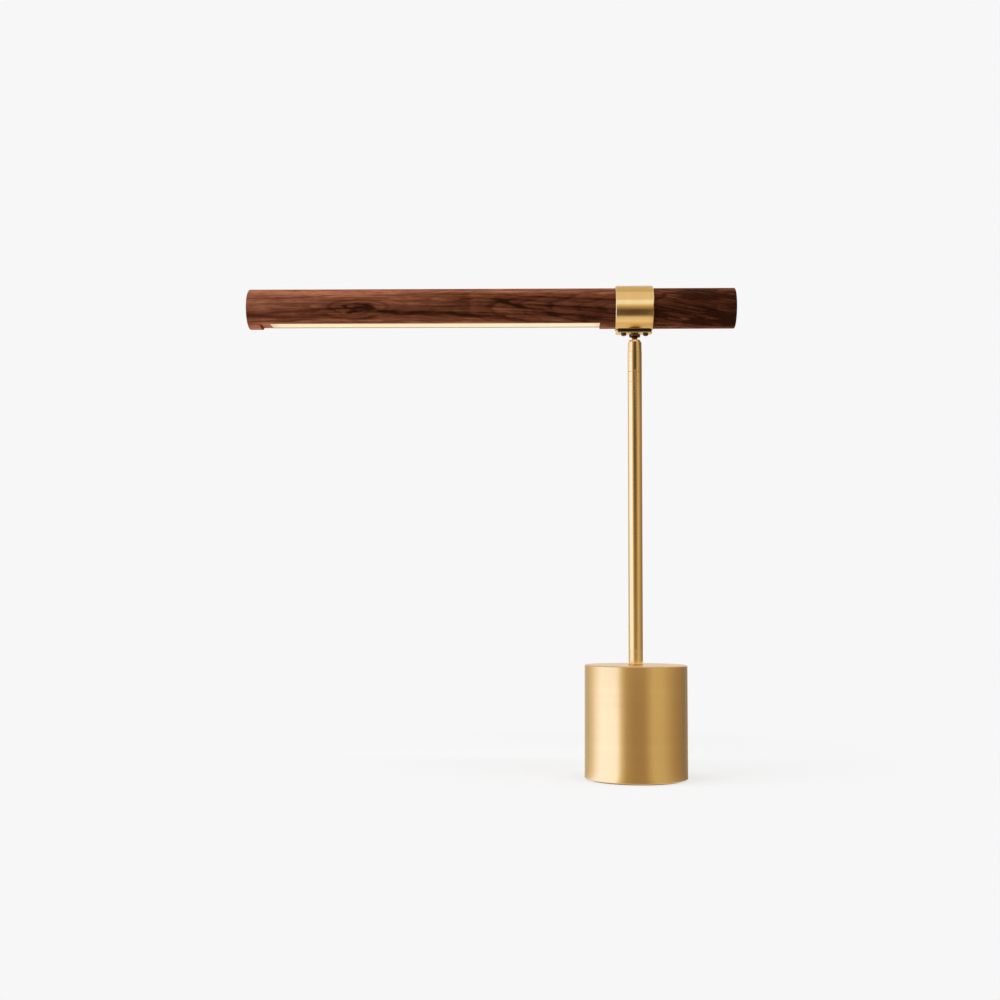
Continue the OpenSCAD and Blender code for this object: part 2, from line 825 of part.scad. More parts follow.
// The holes that the ball stud and the saddle screws share
module saddle_holes(z, h) {
    translate([0, 0, z])
        cylinder(h = h, r = shank_d / 2 + thread_clear);
    at_saddle()
        translate([0, 0, z])
            cylinder(h = h, r = saddle_screw_d / 2 + thread_clear);
}

module saddle_plate() {
    color("#c9a24e")
        difference() {
            translate([-collar_shift, 0, saddle_z])
                round_slab(saddle_l, saddle_w, saddle_corner, saddle_t);
            saddle_holes(saddle_z - eps, saddle_t + 2 * eps);
        }
}

module collar_gasket() {
    color("#161616")
        difference() {
            translate([0, 0, gasket_z])
                round_slab(gasket_l, gasket_w, saddle_corner, gasket_t);
            saddle_holes(gasket_z - eps, gasket_t + 2 * eps);
        }
}

module saddle_screws() {
    head_r = saddle_head_d / 2;
    edge_h = saddle_head_h / 3;
    color("#3a3026")
        at_saddle()
            difference() {
                union() {
                    translate([0, 0, saddle_head_z])
                        cylinder(h = edge_h, r1 = head_r - edge_h, r2 = head_r);
                    translate([0, 0, saddle_head_z + edge_h])
                        cylinder(h = saddle_head_h - edge_h, r = head_r);
                    translate([0, 0, saddle_head_z + edge_h])
                        cylinder(h = saddle_tip_z - saddle_head_z - edge_h, d = saddle_screw_d);
                }
                translate([-head_r / 2, -drive_slot / 2, saddle_head_z - eps])
                    cube([head_r, drive_slot, eps + saddle_head_h / 2]);
                translate([-drive_slot / 2, -head_r / 2, saddle_head_z - eps])
                    cube([drive_slot, head_r, eps + saddle_head_h / 2]);
            }
}

module collar_ring() {
    color("#c9a24e")
        difference() {
            translate([-collar_w / 2 - collar_shift, 0, bar_z])
                rotate([0, 90, 0])
                    difference() {
                        edged_rod(collar_r, collar_w, collar_edge);
                        translate([0, 0, -eps])
                            cylinder(h = collar_w + 2 * eps, r = collar_ri);
                    }
            translate([-collar_w, -collar_r, collar_flat_z - collar_r])
                cube([2 * collar_w, collar_d, collar_r]);
            translate([0, 0, nut_seat_z])
                cylinder(h = collar_r / 2, r = pocket_r);
            saddle_holes(collar_flat_z - eps, collar_r / 2);
        }
}

module light_bar() {
    bar_l = bar_long + bar_short;
    color("#6b432f")
        difference() {
            translate([-bar_long, 0, bar_z])
                rotate([0, 90, 0]) {
                    cylinder(h = bar_l, r = bar_r - bar_round);
                    translate([0, 0, bar_round])
                        cylinder(h = bar_l - 2 * bar_round, r = bar_r);
                    for (z = [bar_round, bar_l - bar_round])
                        translate([0, 0, z])
                            rotate_extrude()
                                translate([bar_r - bar_round, 0])
                                    circle(r = bar_round);
                }
            translate([flat_x0, -bar_r, flat_z - bar_r])
                cube([flat_x1 - flat_x0, bar_d, bar_r]);
            translate([slot_x0, -slot_w / 2, flat_z - eps])
                cube([flat_x1 - slot_x0, slot_w, slot_h + eps]);
            translate([flat_x1 - eps, 0, head_lead_z])
                rod_x(head_way_d / 2, eps - flat_x1);
            translate([0, 0, bar_z - bar_d])
                cylinder(h = head_lead_z + head_way_d / 2 + bar_d - bar_z, r = pocket_r);
            at_saddle()
                translate([0, 0, bar_z - bar_d])
                    cylinder(h = saddle_tip_z + thread_clear - bar_z + bar_d,
                        r = saddle_screw_d / 2 + thread_clear);
            at_channel()
                translate([0, 0, slot_top_z - eps])
                    cylinder(h = channel_screw_l + drop_clear + eps, r = channel_screw_d / 2 + thread_clear);
        }
}

module led_profile() {
    color("#c4c7ca")
        difference() {
            union() {
                difference() {
                    translate([channel_x0, -channel_w / 2, flat_z])
                        cube([channel_l, channel_w, channel_h]);
                    translate([channel_x0 - eps, -inner_w / 2, flat_z - eps])
                        cube([channel_l + 2 * eps, inner_w, channel_floor_z - flat_z + eps]);
                }
                for (s = [-1, 1])
                    translate([channel_x0, s * (inner_w - ledge_w) / 2 - ledge_w / 2, ledge_z])
                        cube([channel_l, ledge_w, ledge_h]);
            }
            at_channel()
                translate([0, 0, channel_floor_z - eps])
                    cylinder(h = channel_t + 2 * eps, r = channel_screw_d / 2 + thread_clear);
            at_channel()
                translate([0, 0, channel_floor_z])
                    cylinder(h = channel_t, r1 = channel_screw_d / 2 + channel_t, r2 = channel_screw_d / 2);
        }
}

module profile_screws() {
    color("#9a9da1")
        at_channel() {
            translate([0, 0, channel_floor_z + thread_clear])
                cylinder(h = channel_t - thread_clear,
                    r1 = channel_screw_d / 2 + channel_t - 2 * thread_clear,
                    r2 = channel_screw_d / 2 - thread_clear);
            translate([0, 0, channel_floor_z + channel_t / 2])
                cylinder(h = slot_top_z + channel_screw_l - channel_floor_z - channel_t / 2,
                    d = channel_screw_d);
        }
}

module led_board() {
    color("#f4f4f0")
        translate([channel_mid - board_l / 2, -board_w / 2, board_z])
            cube([board_l, board_w, board_t]);
}

module led_chips() {
    first_x = channel_mid - (led_n - 1) / 2 * led_pitch - led_l / 2;
    color("#f6d774")
        for (i = [0 : led_n - 1])
            translate([first_x + i * led_pitch, -led_w / 2, board_z - led_h])
                cube([led_l, led_w, led_h]);
}

module diffuser() {
    face_w = inner_w - 2 * thread_clear;
    leg_y = inner_w / 2 - ledge_w - thread_clear - leg_t;
    color("#fff3d6")
        translate([channel_x0, 0, flat_z]) {
            translate([0, -face_w / 2, 0])
                cube([channel_l, face_w, diffuser_t]);
            for (s = [0, 1])
                mirror([0, s, 0])
                    translate([0, leg_y, diffuser_t - eps])
                        cube([channel_l, leg_t, leg_h + eps]);
        }
}

module profile_end_caps() {
    color("#c4c7ca")
        difference() {
            for (x = [channel_x0 - end_cap_t, channel_x1])
                translate([x, -channel_w / 2, flat_z])
                    cube([end_cap_t, channel_w, channel_h]);
            translate([channel_x1 - eps, 0, head_lead_z])
                rod_x(head_lead_d / 2 + thread_clear, end_cap_t + 2 * eps);
        }
}

module head_lead() {
    color("#f1efe8")
        union() {
            translate([0, 0, ball_z])
                cylinder(h = head_lead_z - ball_z, d = head_lead_d);
            translate([0, 0, head_lead_z])
                sphere(d = head_lead_d);
            translate([lead_end_x, 0, head_lead_z])
                rod_x(head_lead_d / 2, -lead_end_x);
        }
}

base_shell();
base_weight();
base_plate();
plate_standoffs();
plate_screws();
foot_pad();
cord_gland();
gland_nut();
led_driver();
driver_screws();
tie_tube();
tie_washer();
tie_nut();
stem_tube();
stem_lead();
joint_coupling();
socket_body();
socket_cap();
pressure_cup();
disc_springs();
swivel_set_screw();
ball_liner();
ball_stud();
stud_nut();
saddle_plate();
collar_gasket();
saddle_screws();
collar_ring();
light_bar();
led_profile();
led_board();
led_chips();
diffuser();
profile_end_caps();
profile_screws();
head_lead();
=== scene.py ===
"""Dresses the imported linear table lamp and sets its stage.

The CAD pieces get turned brass, walnut, an opal light strip, steel and plastics. The felt foot is
made here. The stage has a pale floor, soft boxes, a tent that only reflections show, and a camera.
"""

import json
import math

import bmesh
import bpy
from bpy.props import FloatProperty, FloatVectorProperty, IntProperty, PointerProperty
from mathutils import Matrix, Vector

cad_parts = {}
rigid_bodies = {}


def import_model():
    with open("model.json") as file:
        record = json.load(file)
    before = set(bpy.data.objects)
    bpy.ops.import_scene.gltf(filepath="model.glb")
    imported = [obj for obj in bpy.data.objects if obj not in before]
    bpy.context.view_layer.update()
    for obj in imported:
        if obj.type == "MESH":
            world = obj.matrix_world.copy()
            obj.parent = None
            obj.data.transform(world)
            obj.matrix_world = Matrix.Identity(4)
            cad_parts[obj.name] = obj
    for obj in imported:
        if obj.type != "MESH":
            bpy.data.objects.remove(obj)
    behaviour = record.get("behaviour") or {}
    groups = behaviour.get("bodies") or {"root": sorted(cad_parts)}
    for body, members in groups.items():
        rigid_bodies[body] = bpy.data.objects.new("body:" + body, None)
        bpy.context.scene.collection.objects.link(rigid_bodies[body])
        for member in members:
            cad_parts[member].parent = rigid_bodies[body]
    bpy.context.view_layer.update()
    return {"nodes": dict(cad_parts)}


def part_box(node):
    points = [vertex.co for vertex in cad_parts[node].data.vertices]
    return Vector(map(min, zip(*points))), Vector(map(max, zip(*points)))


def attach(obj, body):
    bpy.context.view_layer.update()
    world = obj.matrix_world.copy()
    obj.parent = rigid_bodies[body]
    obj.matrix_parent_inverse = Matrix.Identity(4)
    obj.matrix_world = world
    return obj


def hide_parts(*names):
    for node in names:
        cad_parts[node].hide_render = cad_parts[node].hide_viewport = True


bl_info = {
    "name": "Linear Table Lamp Dressing",
    "version": (1, 0, 0),
    "blender": (4, 5, 0),
    "location": "3D View > Sidebar > Table Lamp",
    "description": "Gives the packed table lamp its brass, walnut, light strip and stage",
    "category": "Object",
}

for leftover in list(bpy.data.objects):
    bpy.data.objects.remove(leftover)
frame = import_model()
NODES = frame["nodes"]

BAR_LOW, BAR_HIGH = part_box("light_bar")
BAR_AXIS_Z = (BAR_LOW.z + BAR_HIGH.z) / 2
BAR_RADIUS = (BAR_HIGH.z - BAR_LOW.z) / 2
BASE_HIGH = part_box("base_shell")[1]
BASE_RADIUS = BASE_HIGH.x
STRIP_LOW, STRIP_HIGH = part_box("diffuser")
PAD_LOW, PAD_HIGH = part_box("foot_pad")

# Brass: material, pieces, axis of turning, height of a level axis, polish and brush.
TURNED_BRASS = (
    ("turned_brass_base", ("base_shell",), "Z", 0.0, 0.0, 0.35),
    ("turned_brass_stem", ("stem_tube",), "Z", 0.0, 0.09, 0.25),
    ("turned_brass_joint", ("joint_coupling", "socket_body", "socket_cap", "pressure_cup"),
     "Z", 0.0, 0.10, 0.20),
    ("turned_brass_collar", ("collar_ring", "saddle_plate"), "X", BAR_AXIS_Z, 0.02, 0.60),
)
BANDS_PER_MARK = 0.06
MARK_SPREAD = 0.05
FACED_ROUGHER = 0.12
LACQUER_WEIGHT, LACQUER_ROUGHNESS = 0.85, 0.26

# Steel: material, pieces, colour and roughness.
STEELS = (
    ("zinc_plated_steel",
     ("plate_standoffs", "plate_screws", "driver_screws", "tie_tube", "tie_washer",
      "tie_nut", "stud_nut", "profile_screws", "disc_springs", "base_plate"),
     (0.56, 0.57, 0.58), 0.34),
    ("browned_steel", ("ball_stud", "saddle_screws", "swivel_set_screw"),
     (0.140, 0.058, 0.022), 0.30),
)
# Rubber and plastics: material, pieces, colour, roughness, grains per metre and their depth.
MOULDINGS = (
    ("black_gasket_rubber", ("collar_gasket",), (0.012, 0.011, 0.011), 0.66, 1500.0, 0.00010),
    ("black_inlet_nylon", ("cord_gland", "gland_nut"),
     (0.018, 0.018, 0.019), 0.46, 900.0, 0.00012),
    ("driver_case_plastic", ("led_driver",), (0.72, 0.70, 0.64), 0.48, 700.0, 0.00012),
    ("lead_sheath_vinyl", ("stem_lead", "head_lead"), (0.80, 0.78, 0.73), 0.40, 500.0, 0.00006),
    ("liner_nylon", ("ball_liner",), (0.84, 0.82, 0.74), 0.42, 1100.0, 0.00005),
)
OPAL = ("diffuser", "profile_end_caps")

# Noise in the wood: cells per metre along and across the bar, detail and roughness.
WOOD_NOISE = {
    "warp": (40.0, 160.0, 3.0, 0.55),
    "sway": (7.0, 24.0, 3.0, 0.45),
    "fibre": (34.0, 700.0, 4.0, 0.62),
    "streak": (8.0, 260.0, 4.0, 0.60),
    "belt": (3.0, 75.0, 2.0, 0.50),
    "pores": (120.0, 1700.0, 2.0, 0.50),
    "lines": (13.0, 520.0, 3.0, 0.60),
    "figure": (48.0, 110.0, 4.0, 0.60),
}
FINE_MARKS = ((0.53, 0.0), (0.64, 1.0))
# The wood's tone runs from 0, pale, to 1, dark. These are shares of it at no and at full noise.
STREAK_TONES = (-0.55, 0.75)
BELT_TONES = (-0.28, 0.60)
FIGURE_TONES = (-0.30, 0.26)
FIBRE_TONES = (-0.36, 0.36)
# How much single features add to the tone.
LINE_TONE = 0.17
VEIN_TONE = 0.52
# Painted reflection: the pale flat underside stands in for the pale floor mirrored in it.
PAINTED_FLOOR_REFLECTION_TONE = -0.50
# Painted light: faces that look up are made paler, as if lit from above.
PAINTED_TOP_LIGHT_TONE = -0.18
EYE_TONE = 0.66
SHADE_TONE = 0.18
# Stops along the bar, from its free end, 0, to its short end, 1.
GRAIN_FALL = ((0.48, 0.0), (0.76, 0.24), (1.0, 1.0))
RING_FADE = ((0.50, 0.36), (0.64, 0.20))
HEART_TONES = (
    (0.0, 0.0), (0.25, 0.05), (0.42, 0.12), (0.60, 0.18),
    (0.74, 0.30), (0.82, 0.55), (0.92, 0.66), (1.0, 0.70),
)
# Stops across a year ring and across the knot.
LATE_WOOD = ((0.0, 0.0), (0.50, 0.22), (0.80, 1.0), (1.0, 0.0))
KNOT_EYE = ((0.12, 0.0), (0.36, 1.0), (0.58, 0.35), (0.78, 0.40), (0.95, 1.0))
# How fast the knot's bend of the rings and its shade fade with the squared distance from it.
HALO_RATE, SHADE_RATE = 0.13, 0.42
# Where the tree's heart stops running away, how softly, and what is added to its place.
PITH_TURN_X, PITH_TURN_SOFTNESS = -0.235, 0.08
PITH_BACK, PITH_RISE = 0.0147, 0.004
# How far the noises and the knot push the year rings and the veins, in metres.
SWAY_REACH, WARP_REACH, HALO_REACH = 0.017, 0.0036, 0.0085
VEIN_WANDER = 0.005
VEIN_WIDTHS = (0.0002, 0.0034)
VEIN_SPAN = 0.030
# Dark veins on the front: place along the bar, height in VEIN_SPAN and strength.
VEINS = (
    ((0.0, 0.36, 0.30), (0.11, 0.47, 0.60), (0.165, 0.53, 0.95), (0.20, 0.55, 0.90),
     (0.222, 0.55, 0.45), (0.255, 0.53, 0.35), (0.285, 0.46, 0.95), (0.32, 0.41, 1.0),
     (0.395, 0.40, 1.0), (0.48, 0.33, 0.90), (0.56, 0.22, 0.70), (0.64, 0.12, 0.0)),
    ((0.50, 0.80, 0.0), (0.525, 0.77, 1.0), (0.56, 0.62, 0.90), (0.60, 0.47, 0.80),
     (0.64, 0.38, 0.65), (0.73, 0.24, 0.0)),
    ((0.515, 0.78, 0.0), (0.53, 0.81, 0.70), (0.55, 0.89, 0.55), (0.60, 0.96, 0.40),
     (0.70, 1.0, 0.0)),
    ((0.0, 0.28, 0.25), (0.12, 0.33, 0.60), (0.165, 0.345, 0.75), (0.19, 0.30, 0.65),
     (0.222, 0.225, 0.50), (0.25, 0.27, 0.55), (0.285, 0.37, 0.60), (0.32, 0.40, 0.0)),
)

# Felt foot: its rim as a share of the thickness, the fray as a share of the radius, and the
# fray's waves: size, number round the rim and lag.
FELT_RIM = 0.22
RIM_STEPS = 4
FELT_FRAY = 0.0025
FRAY_WAVES = ((0.28, 23, 0.0), (0.22, 61, 1.3))

FLOOR_PLACE = (0.0, 0.2, -0.0002)
FLOOR_SIZE = 6.0
SENSOR_WIDTH = 36.0

TENT_RADIUS = 1.5
TENT_HEIGHT = 1.7
TENT_SIDES = 96
CARPET_Z = 0.0006
SHEET_GAP = 0.001
TRAY_Z = BASE_HIGH.z + SHEET_GAP
CANOPY_Z = TRAY_Z + 0.014
CANOPY_RADIUS = 0.26
STEM_HOLE = 0.008
TENT_PEAK = 5.0
# The tent's levels by azimuth: low down, at the bar's height and above it.
TENT_FOOT = (
    (-180.0, 0.72), (-150.0, 0.46), (-104.0, 0.86), (-88.0, 0.95), (-45.0, 0.95), (-25.0, 0.42),
    (-9.0, 0.35), (14.0, 0.34), (34.0, 0.62), (56.0, 0.59), (88.0, 0.38), (130.0, 0.21),
    (160.0, 0.30), (180.0, 0.72),
)
TENT_BODY = (
    (-180.0, 0.72), (-152.0, 0.50), (-132.0, 0.66), (-108.0, 0.94), (-90.0, 1.0), (-58.0, 1.0),
    (-44.0, 0.78), (-24.0, 0.22), (-10.0, 0.03), (6.0, 0.05), (22.0, 0.30), (38.0, 0.64),
    (62.0, 0.66), (82.0, 0.46), (105.0, 0.30), (135.0, 0.22), (160.0, 0.30), (180.0, 0.72),
)
TENT_HEAD = (
    (-180.0, 0.72), (-152.0, 0.52), (-134.0, 0.72), (-110.0, 0.98), (-90.0, 1.0), (-66.0, 1.0),
    (-46.0, 0.74), (-28.0, 0.20), (-12.0, 0.03), (8.0, 0.03), (26.0, 0.34), (42.0, 0.55),
    (58.0, 0.50), (80.0, 0.26), (105.0, 0.12), (135.0, 0.12), (160.0, 0.30), (180.0, 0.72),
)
TENT_SHOULDER, TENT_CROWN = (0.84, 0.84, 0.84), (0.72, 0.72, 0.72)
# The colour of each level.
TENT_TINTS = (
    (0.0, (0.012, 0.0080, 0.0045)), (0.35, (0.086, 0.071, 0.052)), (0.60, (0.138, 0.132, 0.106)),
    (0.76, (0.188, 0.190, 0.180)), (1.0, (0.285, 0.375, 0.700)),
)
PLAIN, SUNNY, WARM = (1.0, 1.0, 1.0), (1.0, 1.0, 0.84), (1.0, 0.84, 0.58)
GLOWING, ROSY, AMBER = (1.06, 0.96, 0.76), (1.0, 0.94, 1.0), (1.06, 0.90, 0.58)
# One-sided rings: name, two circles as radius and height, the length that the levels fade over,
# the lower and the upper level, and the tint.
TENT_RINGS = (
    ("tent_tray", (STEM_HOLE, TRAY_Z), (BASE_RADIUS, TRAY_Z),
     2 * BASE_RADIUS, 0.76, 0.76, GLOWING),
    ("tent_canopy", (CANOPY_RADIUS, CANOPY_Z), (STEM_HOLE, CANOPY_Z),
     2 * CANOPY_RADIUS, 0.60, 0.69, ROSY),
)
# Flat sheets: name, place, target, width, height, the lower and the upper level, and the tint.
# One without a target lies level and is one-sided.
TENT_CARDS = (
    ("tent_apron", (0.0, -0.041, 0.40), None, 0.046, 0.036, 0.72, 0.80, PLAIN),
    ("tent_sill", (0.0, -0.0155, 0.40), None, 0.046, 0.015, 0.76, 0.68, AMBER),
    ("tent_roof", (0.0, 0.6, 1.9), (0.0, 0.6, 0.0), 2.4, 1.8, 0.61, 0.61, PLAIN),
    ("tent_light", (0.065, -1.20, 0.865), (0.065, 0.0, 0.865), 0.43, 0.47, 0.86, 0.92, SUNNY),
    ("tent_card", (0.002, -0.10, 0.4655), (0.002, 0.0, 0.4655), 0.066, 0.033, 0.38, 0.92, SUNNY),
    ("tent_flag", (0.001, -0.06, 0.430), (0.001, 0.0, 0.430), 0.042, 0.036, 0.05, 0.03, PLAIN),
    ("tent_rear_card", (0.0, 0.10, 0.415), (0.0, 0.0, 0.415), 0.08, 0.034, 0.66, 0.66, WARM),
)

# The colour sockets of a Mix node.
MIX_FIRST, MIX_SECOND, MIX_RESULT = 6, 7, 2


class Graph:
    """The nodes of one material or world."""

    def __init__(self, owner):
        self.owner = owner
        owner.use_nodes = True
        self.tree = owner.node_tree
        self.tree.nodes.clear()

    def node(self, kind, **settings):
        made = self.tree.nodes.new(kind)
        for key, value in settings.items():
            setattr(made, key, value)
        return made

    def put(self, socket, value):
        """Links a socket to another one, or sets its own value."""
        if isinstance(value, bpy.types.NodeSocket):
            self.tree.links.new(value, socket)
        else:
            socket.default_value = value

    def fed(self, made, *values):
        """A node's first output, with its inputs given in their order."""
        for socket, value in zip(made.inputs, values):
            self.put(socket, value)
        return made.outputs[0]

    def output(self, kind, **sockets):
        """A new node's first output, with its inputs given by name. A _ stands for a space."""
        made = self.node(kind)
        for key, value in sockets.items():
            self.put(made.inputs[key.replace("_", " ")], value)
        return made.outputs[0]

    def math(self, operation, first, second=0.0, third=0.0, clamp=False):
        made = self.node("ShaderNodeMath", operation=operation, use_clamp=clamp)
        return self.fed(made, first, second, third)

    def squares(self, first, second):
        """The sum of two squares."""
        return self.math(
            "ADD", self.math("MULTIPLY", first, first), self.math("MULTIPLY", second, second))

    def length(self, first, second):
        """The length of a flat vector."""
        return self.math("POWER", self.squares(first, second), 0.5)

    def bell(self, square, rate=1.0):
        """Falls from 1 to 0 as a squared distance grows."""
        return self.math("POWER", math.e, self.math("MULTIPLY", square, -rate))

    def share(self, value, low, high):
        """Where a value lies between two ends, 0 at the first and 1 at the second."""
        return self.math("DIVIDE", self.math("SUBTRACT", value, low), high - low)

    def split(self, vector):
        made = self.node("ShaderNodeSeparateXYZ")
        self.put(made.inputs[0], vector)
        return made.outputs

    def join(self, x, y, z):
        return self.fed(self.node("ShaderNodeCombineXYZ"), x, y, z)

    def stretch(self, vector, factors):
        return self.fed(self.node("ShaderNodeVectorMath", operation="MULTIPLY"), vector, factors)

    def noise(self, vector, scale, detail=3.0, roughness=0.5, distortion=0.0):
        return self.output(
            "ShaderNodeTexNoise", Vector=vector, Scale=scale, Detail=detail,
            Roughness=roughness, Distortion=distortion)

    def ramp(self, factor, stops, smooth=False):
        made = self.node("ShaderNodeValToRGB")
        band = made.color_ramp
        band.interpolation = "EASE" if smooth else "LINEAR"
        while len(band.elements) < len(stops):
            band.elements.new(0.5)
        for element, (position, colour) in zip(band.elements, stops):
            element.position = position
            element.color = grey(colour) if isinstance(colour, float) else rgba(colour)
        return self.fed(made, factor)

    def blend(self, factor, first, second):
        made = self.node("ShaderNodeMix", data_type="RGBA", blend_type="MIX")
        self.put(made.inputs["Factor"], factor)
        for index, colour in ((MIX_FIRST, first), (MIX_SECOND, second)):
            linked = isinstance(colour, bpy.types.NodeSocket)
            self.put(made.inputs[index], colour if linked else rgba(colour))
        return made.outputs[MIX_RESULT]

    def between(self, value, low, high):
        """Takes a value from 0 to 1 to a value from low to high."""
        return self.output("ShaderNodeMapRange", Value=value, To_Min=low, To_Max=high)

    def relief(self, height, strength, depth):
        return self.output("ShaderNodeBump", Height=height, Strength=strength, Distance=depth)

    def seen_rays(self):
        """1 for camera, glossy and transmission rays, and 0 for the rest."""
        path = self.node("ShaderNodeLightPath")
        total = path.outputs["Is Camera Ray"]
        for other in ("Is Glossy Ray", "Is Transmission Ray"):
            total = self.math("MAXIMUM", total, path.outputs[other])
        return total

    def mix(self, factor, first, second):
        return self.fed(self.node("ShaderNodeMixShader"), factor, first, second)

    def clear_back(self, shader):
        """A shader that light passes from behind."""
        behind = self.node("ShaderNodeNewGeometry").outputs["Backfacing"]
        return self.mix(behind, shader, self.output("ShaderNodeBsdfTransparent"))

    def show(self, shader, kind="ShaderNodeOutputMaterial"):
        """Ends the graph with a shader and gives its material or world."""
        self.put(self.node(kind).inputs["Surface"], shader)
        return self.owner


class Finish(Graph):
    """The nodes of a new material, in its object's own coordinates."""

    def __init__(self, name):
        super().__init__(bpy.data.materials.new(name))
        coordinates = self.node("ShaderNodeTexCoord")
        self.place = coordinates.outputs["Object"]
        self.facing = coordinates.outputs["Normal"]

    def surface(self, **sockets):
        return self.show(self.output("ShaderNodeBsdfPrincipled", **sockets))


def grey(value):
    return (value, value, value, 1.0)


def rgba(colour):
    return tuple(colour)[:3] + (1.0,)


def dimmed(colour, share):
    return [part * share for part in colour]


def dress(names, material):
    """Puts a material on every slot of the named CAD nodes."""
    for name in names:
        node = NODES.get(name)
        if node is None:
            raise RuntimeError(f"the frame has no node {name}")
        for holder in node.material_slots:
            holder.material = material


class LampBrassSettings(bpy.types.PropertyGroup):
    colour: FloatVectorProperty(
        name="Brass", description="Colour of the satin brass", subtype="COLOR",
        size=3, min=0.0, max=1.0, default=(0.81, 0.51, 0.175))
    deep_colour: FloatVectorProperty(
        name="Deep brass", description="Colour of the brass where the lacquer is thicker",
        subtype="COLOR", size=3, min=0.0, max=1.0, default=(0.75, 0.45, 0.145))
    roughness: FloatProperty(
        name="Roughness", description="Roughness of the satin finish", subtype="FACTOR",
        min=0.0, max=1.0, default=0.23)
    line_pitch: FloatProperty(
        name="Turning pitch", description="Distance between the marks of the lathe tool",
        unit="LENGTH", subtype="DISTANCE", min=0.0001, default=0.0008)


class LampWalnutSettings(bpy.types.PropertyGroup):
    light_colour: FloatVectorProperty(
        name="Pale wood", description="Colour of the soft early wood", subtype="COLOR",
        size=3, min=0.0, max=1.0, default=(0.348, 0.127, 0.067))
    mid_colour: FloatVectorProperty(
        name="Mid wood", description="Colour between the soft and the hard wood", subtype="COLOR",
        size=3, min=0.0, max=1.0, default=(0.162, 0.050, 0.0230))
    dark_colour: FloatVectorProperty(
        name="Dark wood", description="Colour of the hard late wood", subtype="COLOR",
        size=3, min=0.0, max=1.0, default=(0.061, 0.0165, 0.0068))
    ring_width: FloatProperty(
        name="Ring width", description="Average width of a year ring", unit="LENGTH",
        subtype="DISTANCE", min=0.0005, default=0.0032)
    pith_depth: FloatProperty(
        name="Pith depth", description="How far the tree's heart lies behind the bar's axis",
        unit="LENGTH", subtype="DISTANCE", default=0.058)
    pith_slope: FloatProperty(
        name="Grain slope", description="How fast the tree's heart runs away from the bar along it",
        default=0.11)
    grain_drop: FloatProperty(
        name="Grain drop", description="How far the grain falls towards the bar's short end",
        unit="LENGTH", subtype="DISTANCE", default=0.030)
    knot: FloatVectorProperty(
        name="Knot", description="Middle of the knot on the front of the bar",
        subtype="XYZ", unit="LENGTH", size=3, default=(-0.274, -0.020, 0.4609))
    knot_size: FloatVectorProperty(
        name="Knot size", description="Half length and half height of the knot",
        subtype="XYZ", unit="LENGTH", size=2, default=(0.0126, 0.0040))


class LampStripSettings(bpy.types.PropertyGroup):
    free_glow: FloatVectorProperty(
        name="Glow, free end", description="Colour of the light at the free end of the strip",
        subtype="COLOR", size=3, min=0.0, max=1.0, default=(1.0, 0.76, 0.385))
    near_glow: FloatVectorProperty(
        name="Glow, near end", description="Colour of the light beside the collar",
        subtype="COLOR", size=3, min=0.0, max=1.0, default=(1.0, 0.80, 0.43))
    strength: FloatProperty(
        name="Glow strength", description="Strength of the strip's light", min=0.0, default=0.74)


class LampStageSettings(bpy.types.PropertyGroup):
    paper: FloatVectorProperty(
        name="Background", description="Colour of the floor and the background", subtype="COLOR",
        size=3, min=0.0, max=1.0, default=(0.93, 0.93, 0.93))
    ambient: FloatProperty(
        name="Ambient light", description="Level of the room's even light", min=0.0, default=0.16)
    key: FloatProperty(
        name="Key light", description="Brightness of the large soft box on the left",
        min=0.0, default=1.1)
    fill: FloatProperty(
        name="Fill light", description="Brightness of the soft box on the right",
        min=0.0, default=0.4)
    top: FloatProperty(
        name="Top light", description="Brightness of the soft box above the lamp",
        min=0.0, default=7.0)
    bounce: FloatProperty(
        name="Bounce light", description="Brightness of the low soft box under the long arm",
        min=0.0, default=1.7)
    camera_place: FloatVectorProperty(
        name="Camera", description="Where the camera stands", subtype="XYZ", unit="LENGTH",
        size=3, default=(-0.08681, -1.35267, 0.16410))
    camera_turn: FloatVectorProperty(
        name="Camera turn", description="Camera's turn to the left, its rise and its roll",
        subtype="EULER", unit="ROTATION", size=3, default=(0.03444, 0.07937, 0.00424))
    lens: FloatProperty(
        name="Lens", description="Focal length on a 36 mm sensor, in millimetres",
        min=1.0, default=49.40)


class LampSettings(bpy.types.PropertyGroup):
    brass: PointerProperty(type=LampBrassSettings)
    walnut: PointerProperty(type=LampWalnutSettings)
    strip: PointerProperty(type=LampStripSettings)
    stage: PointerProperty(type=LampStageSettings)
    pad_sides: IntProperty(
        name="Felt sides", description="Number of sides of the felt foot's outline",
        min=32, max=256, default=128)


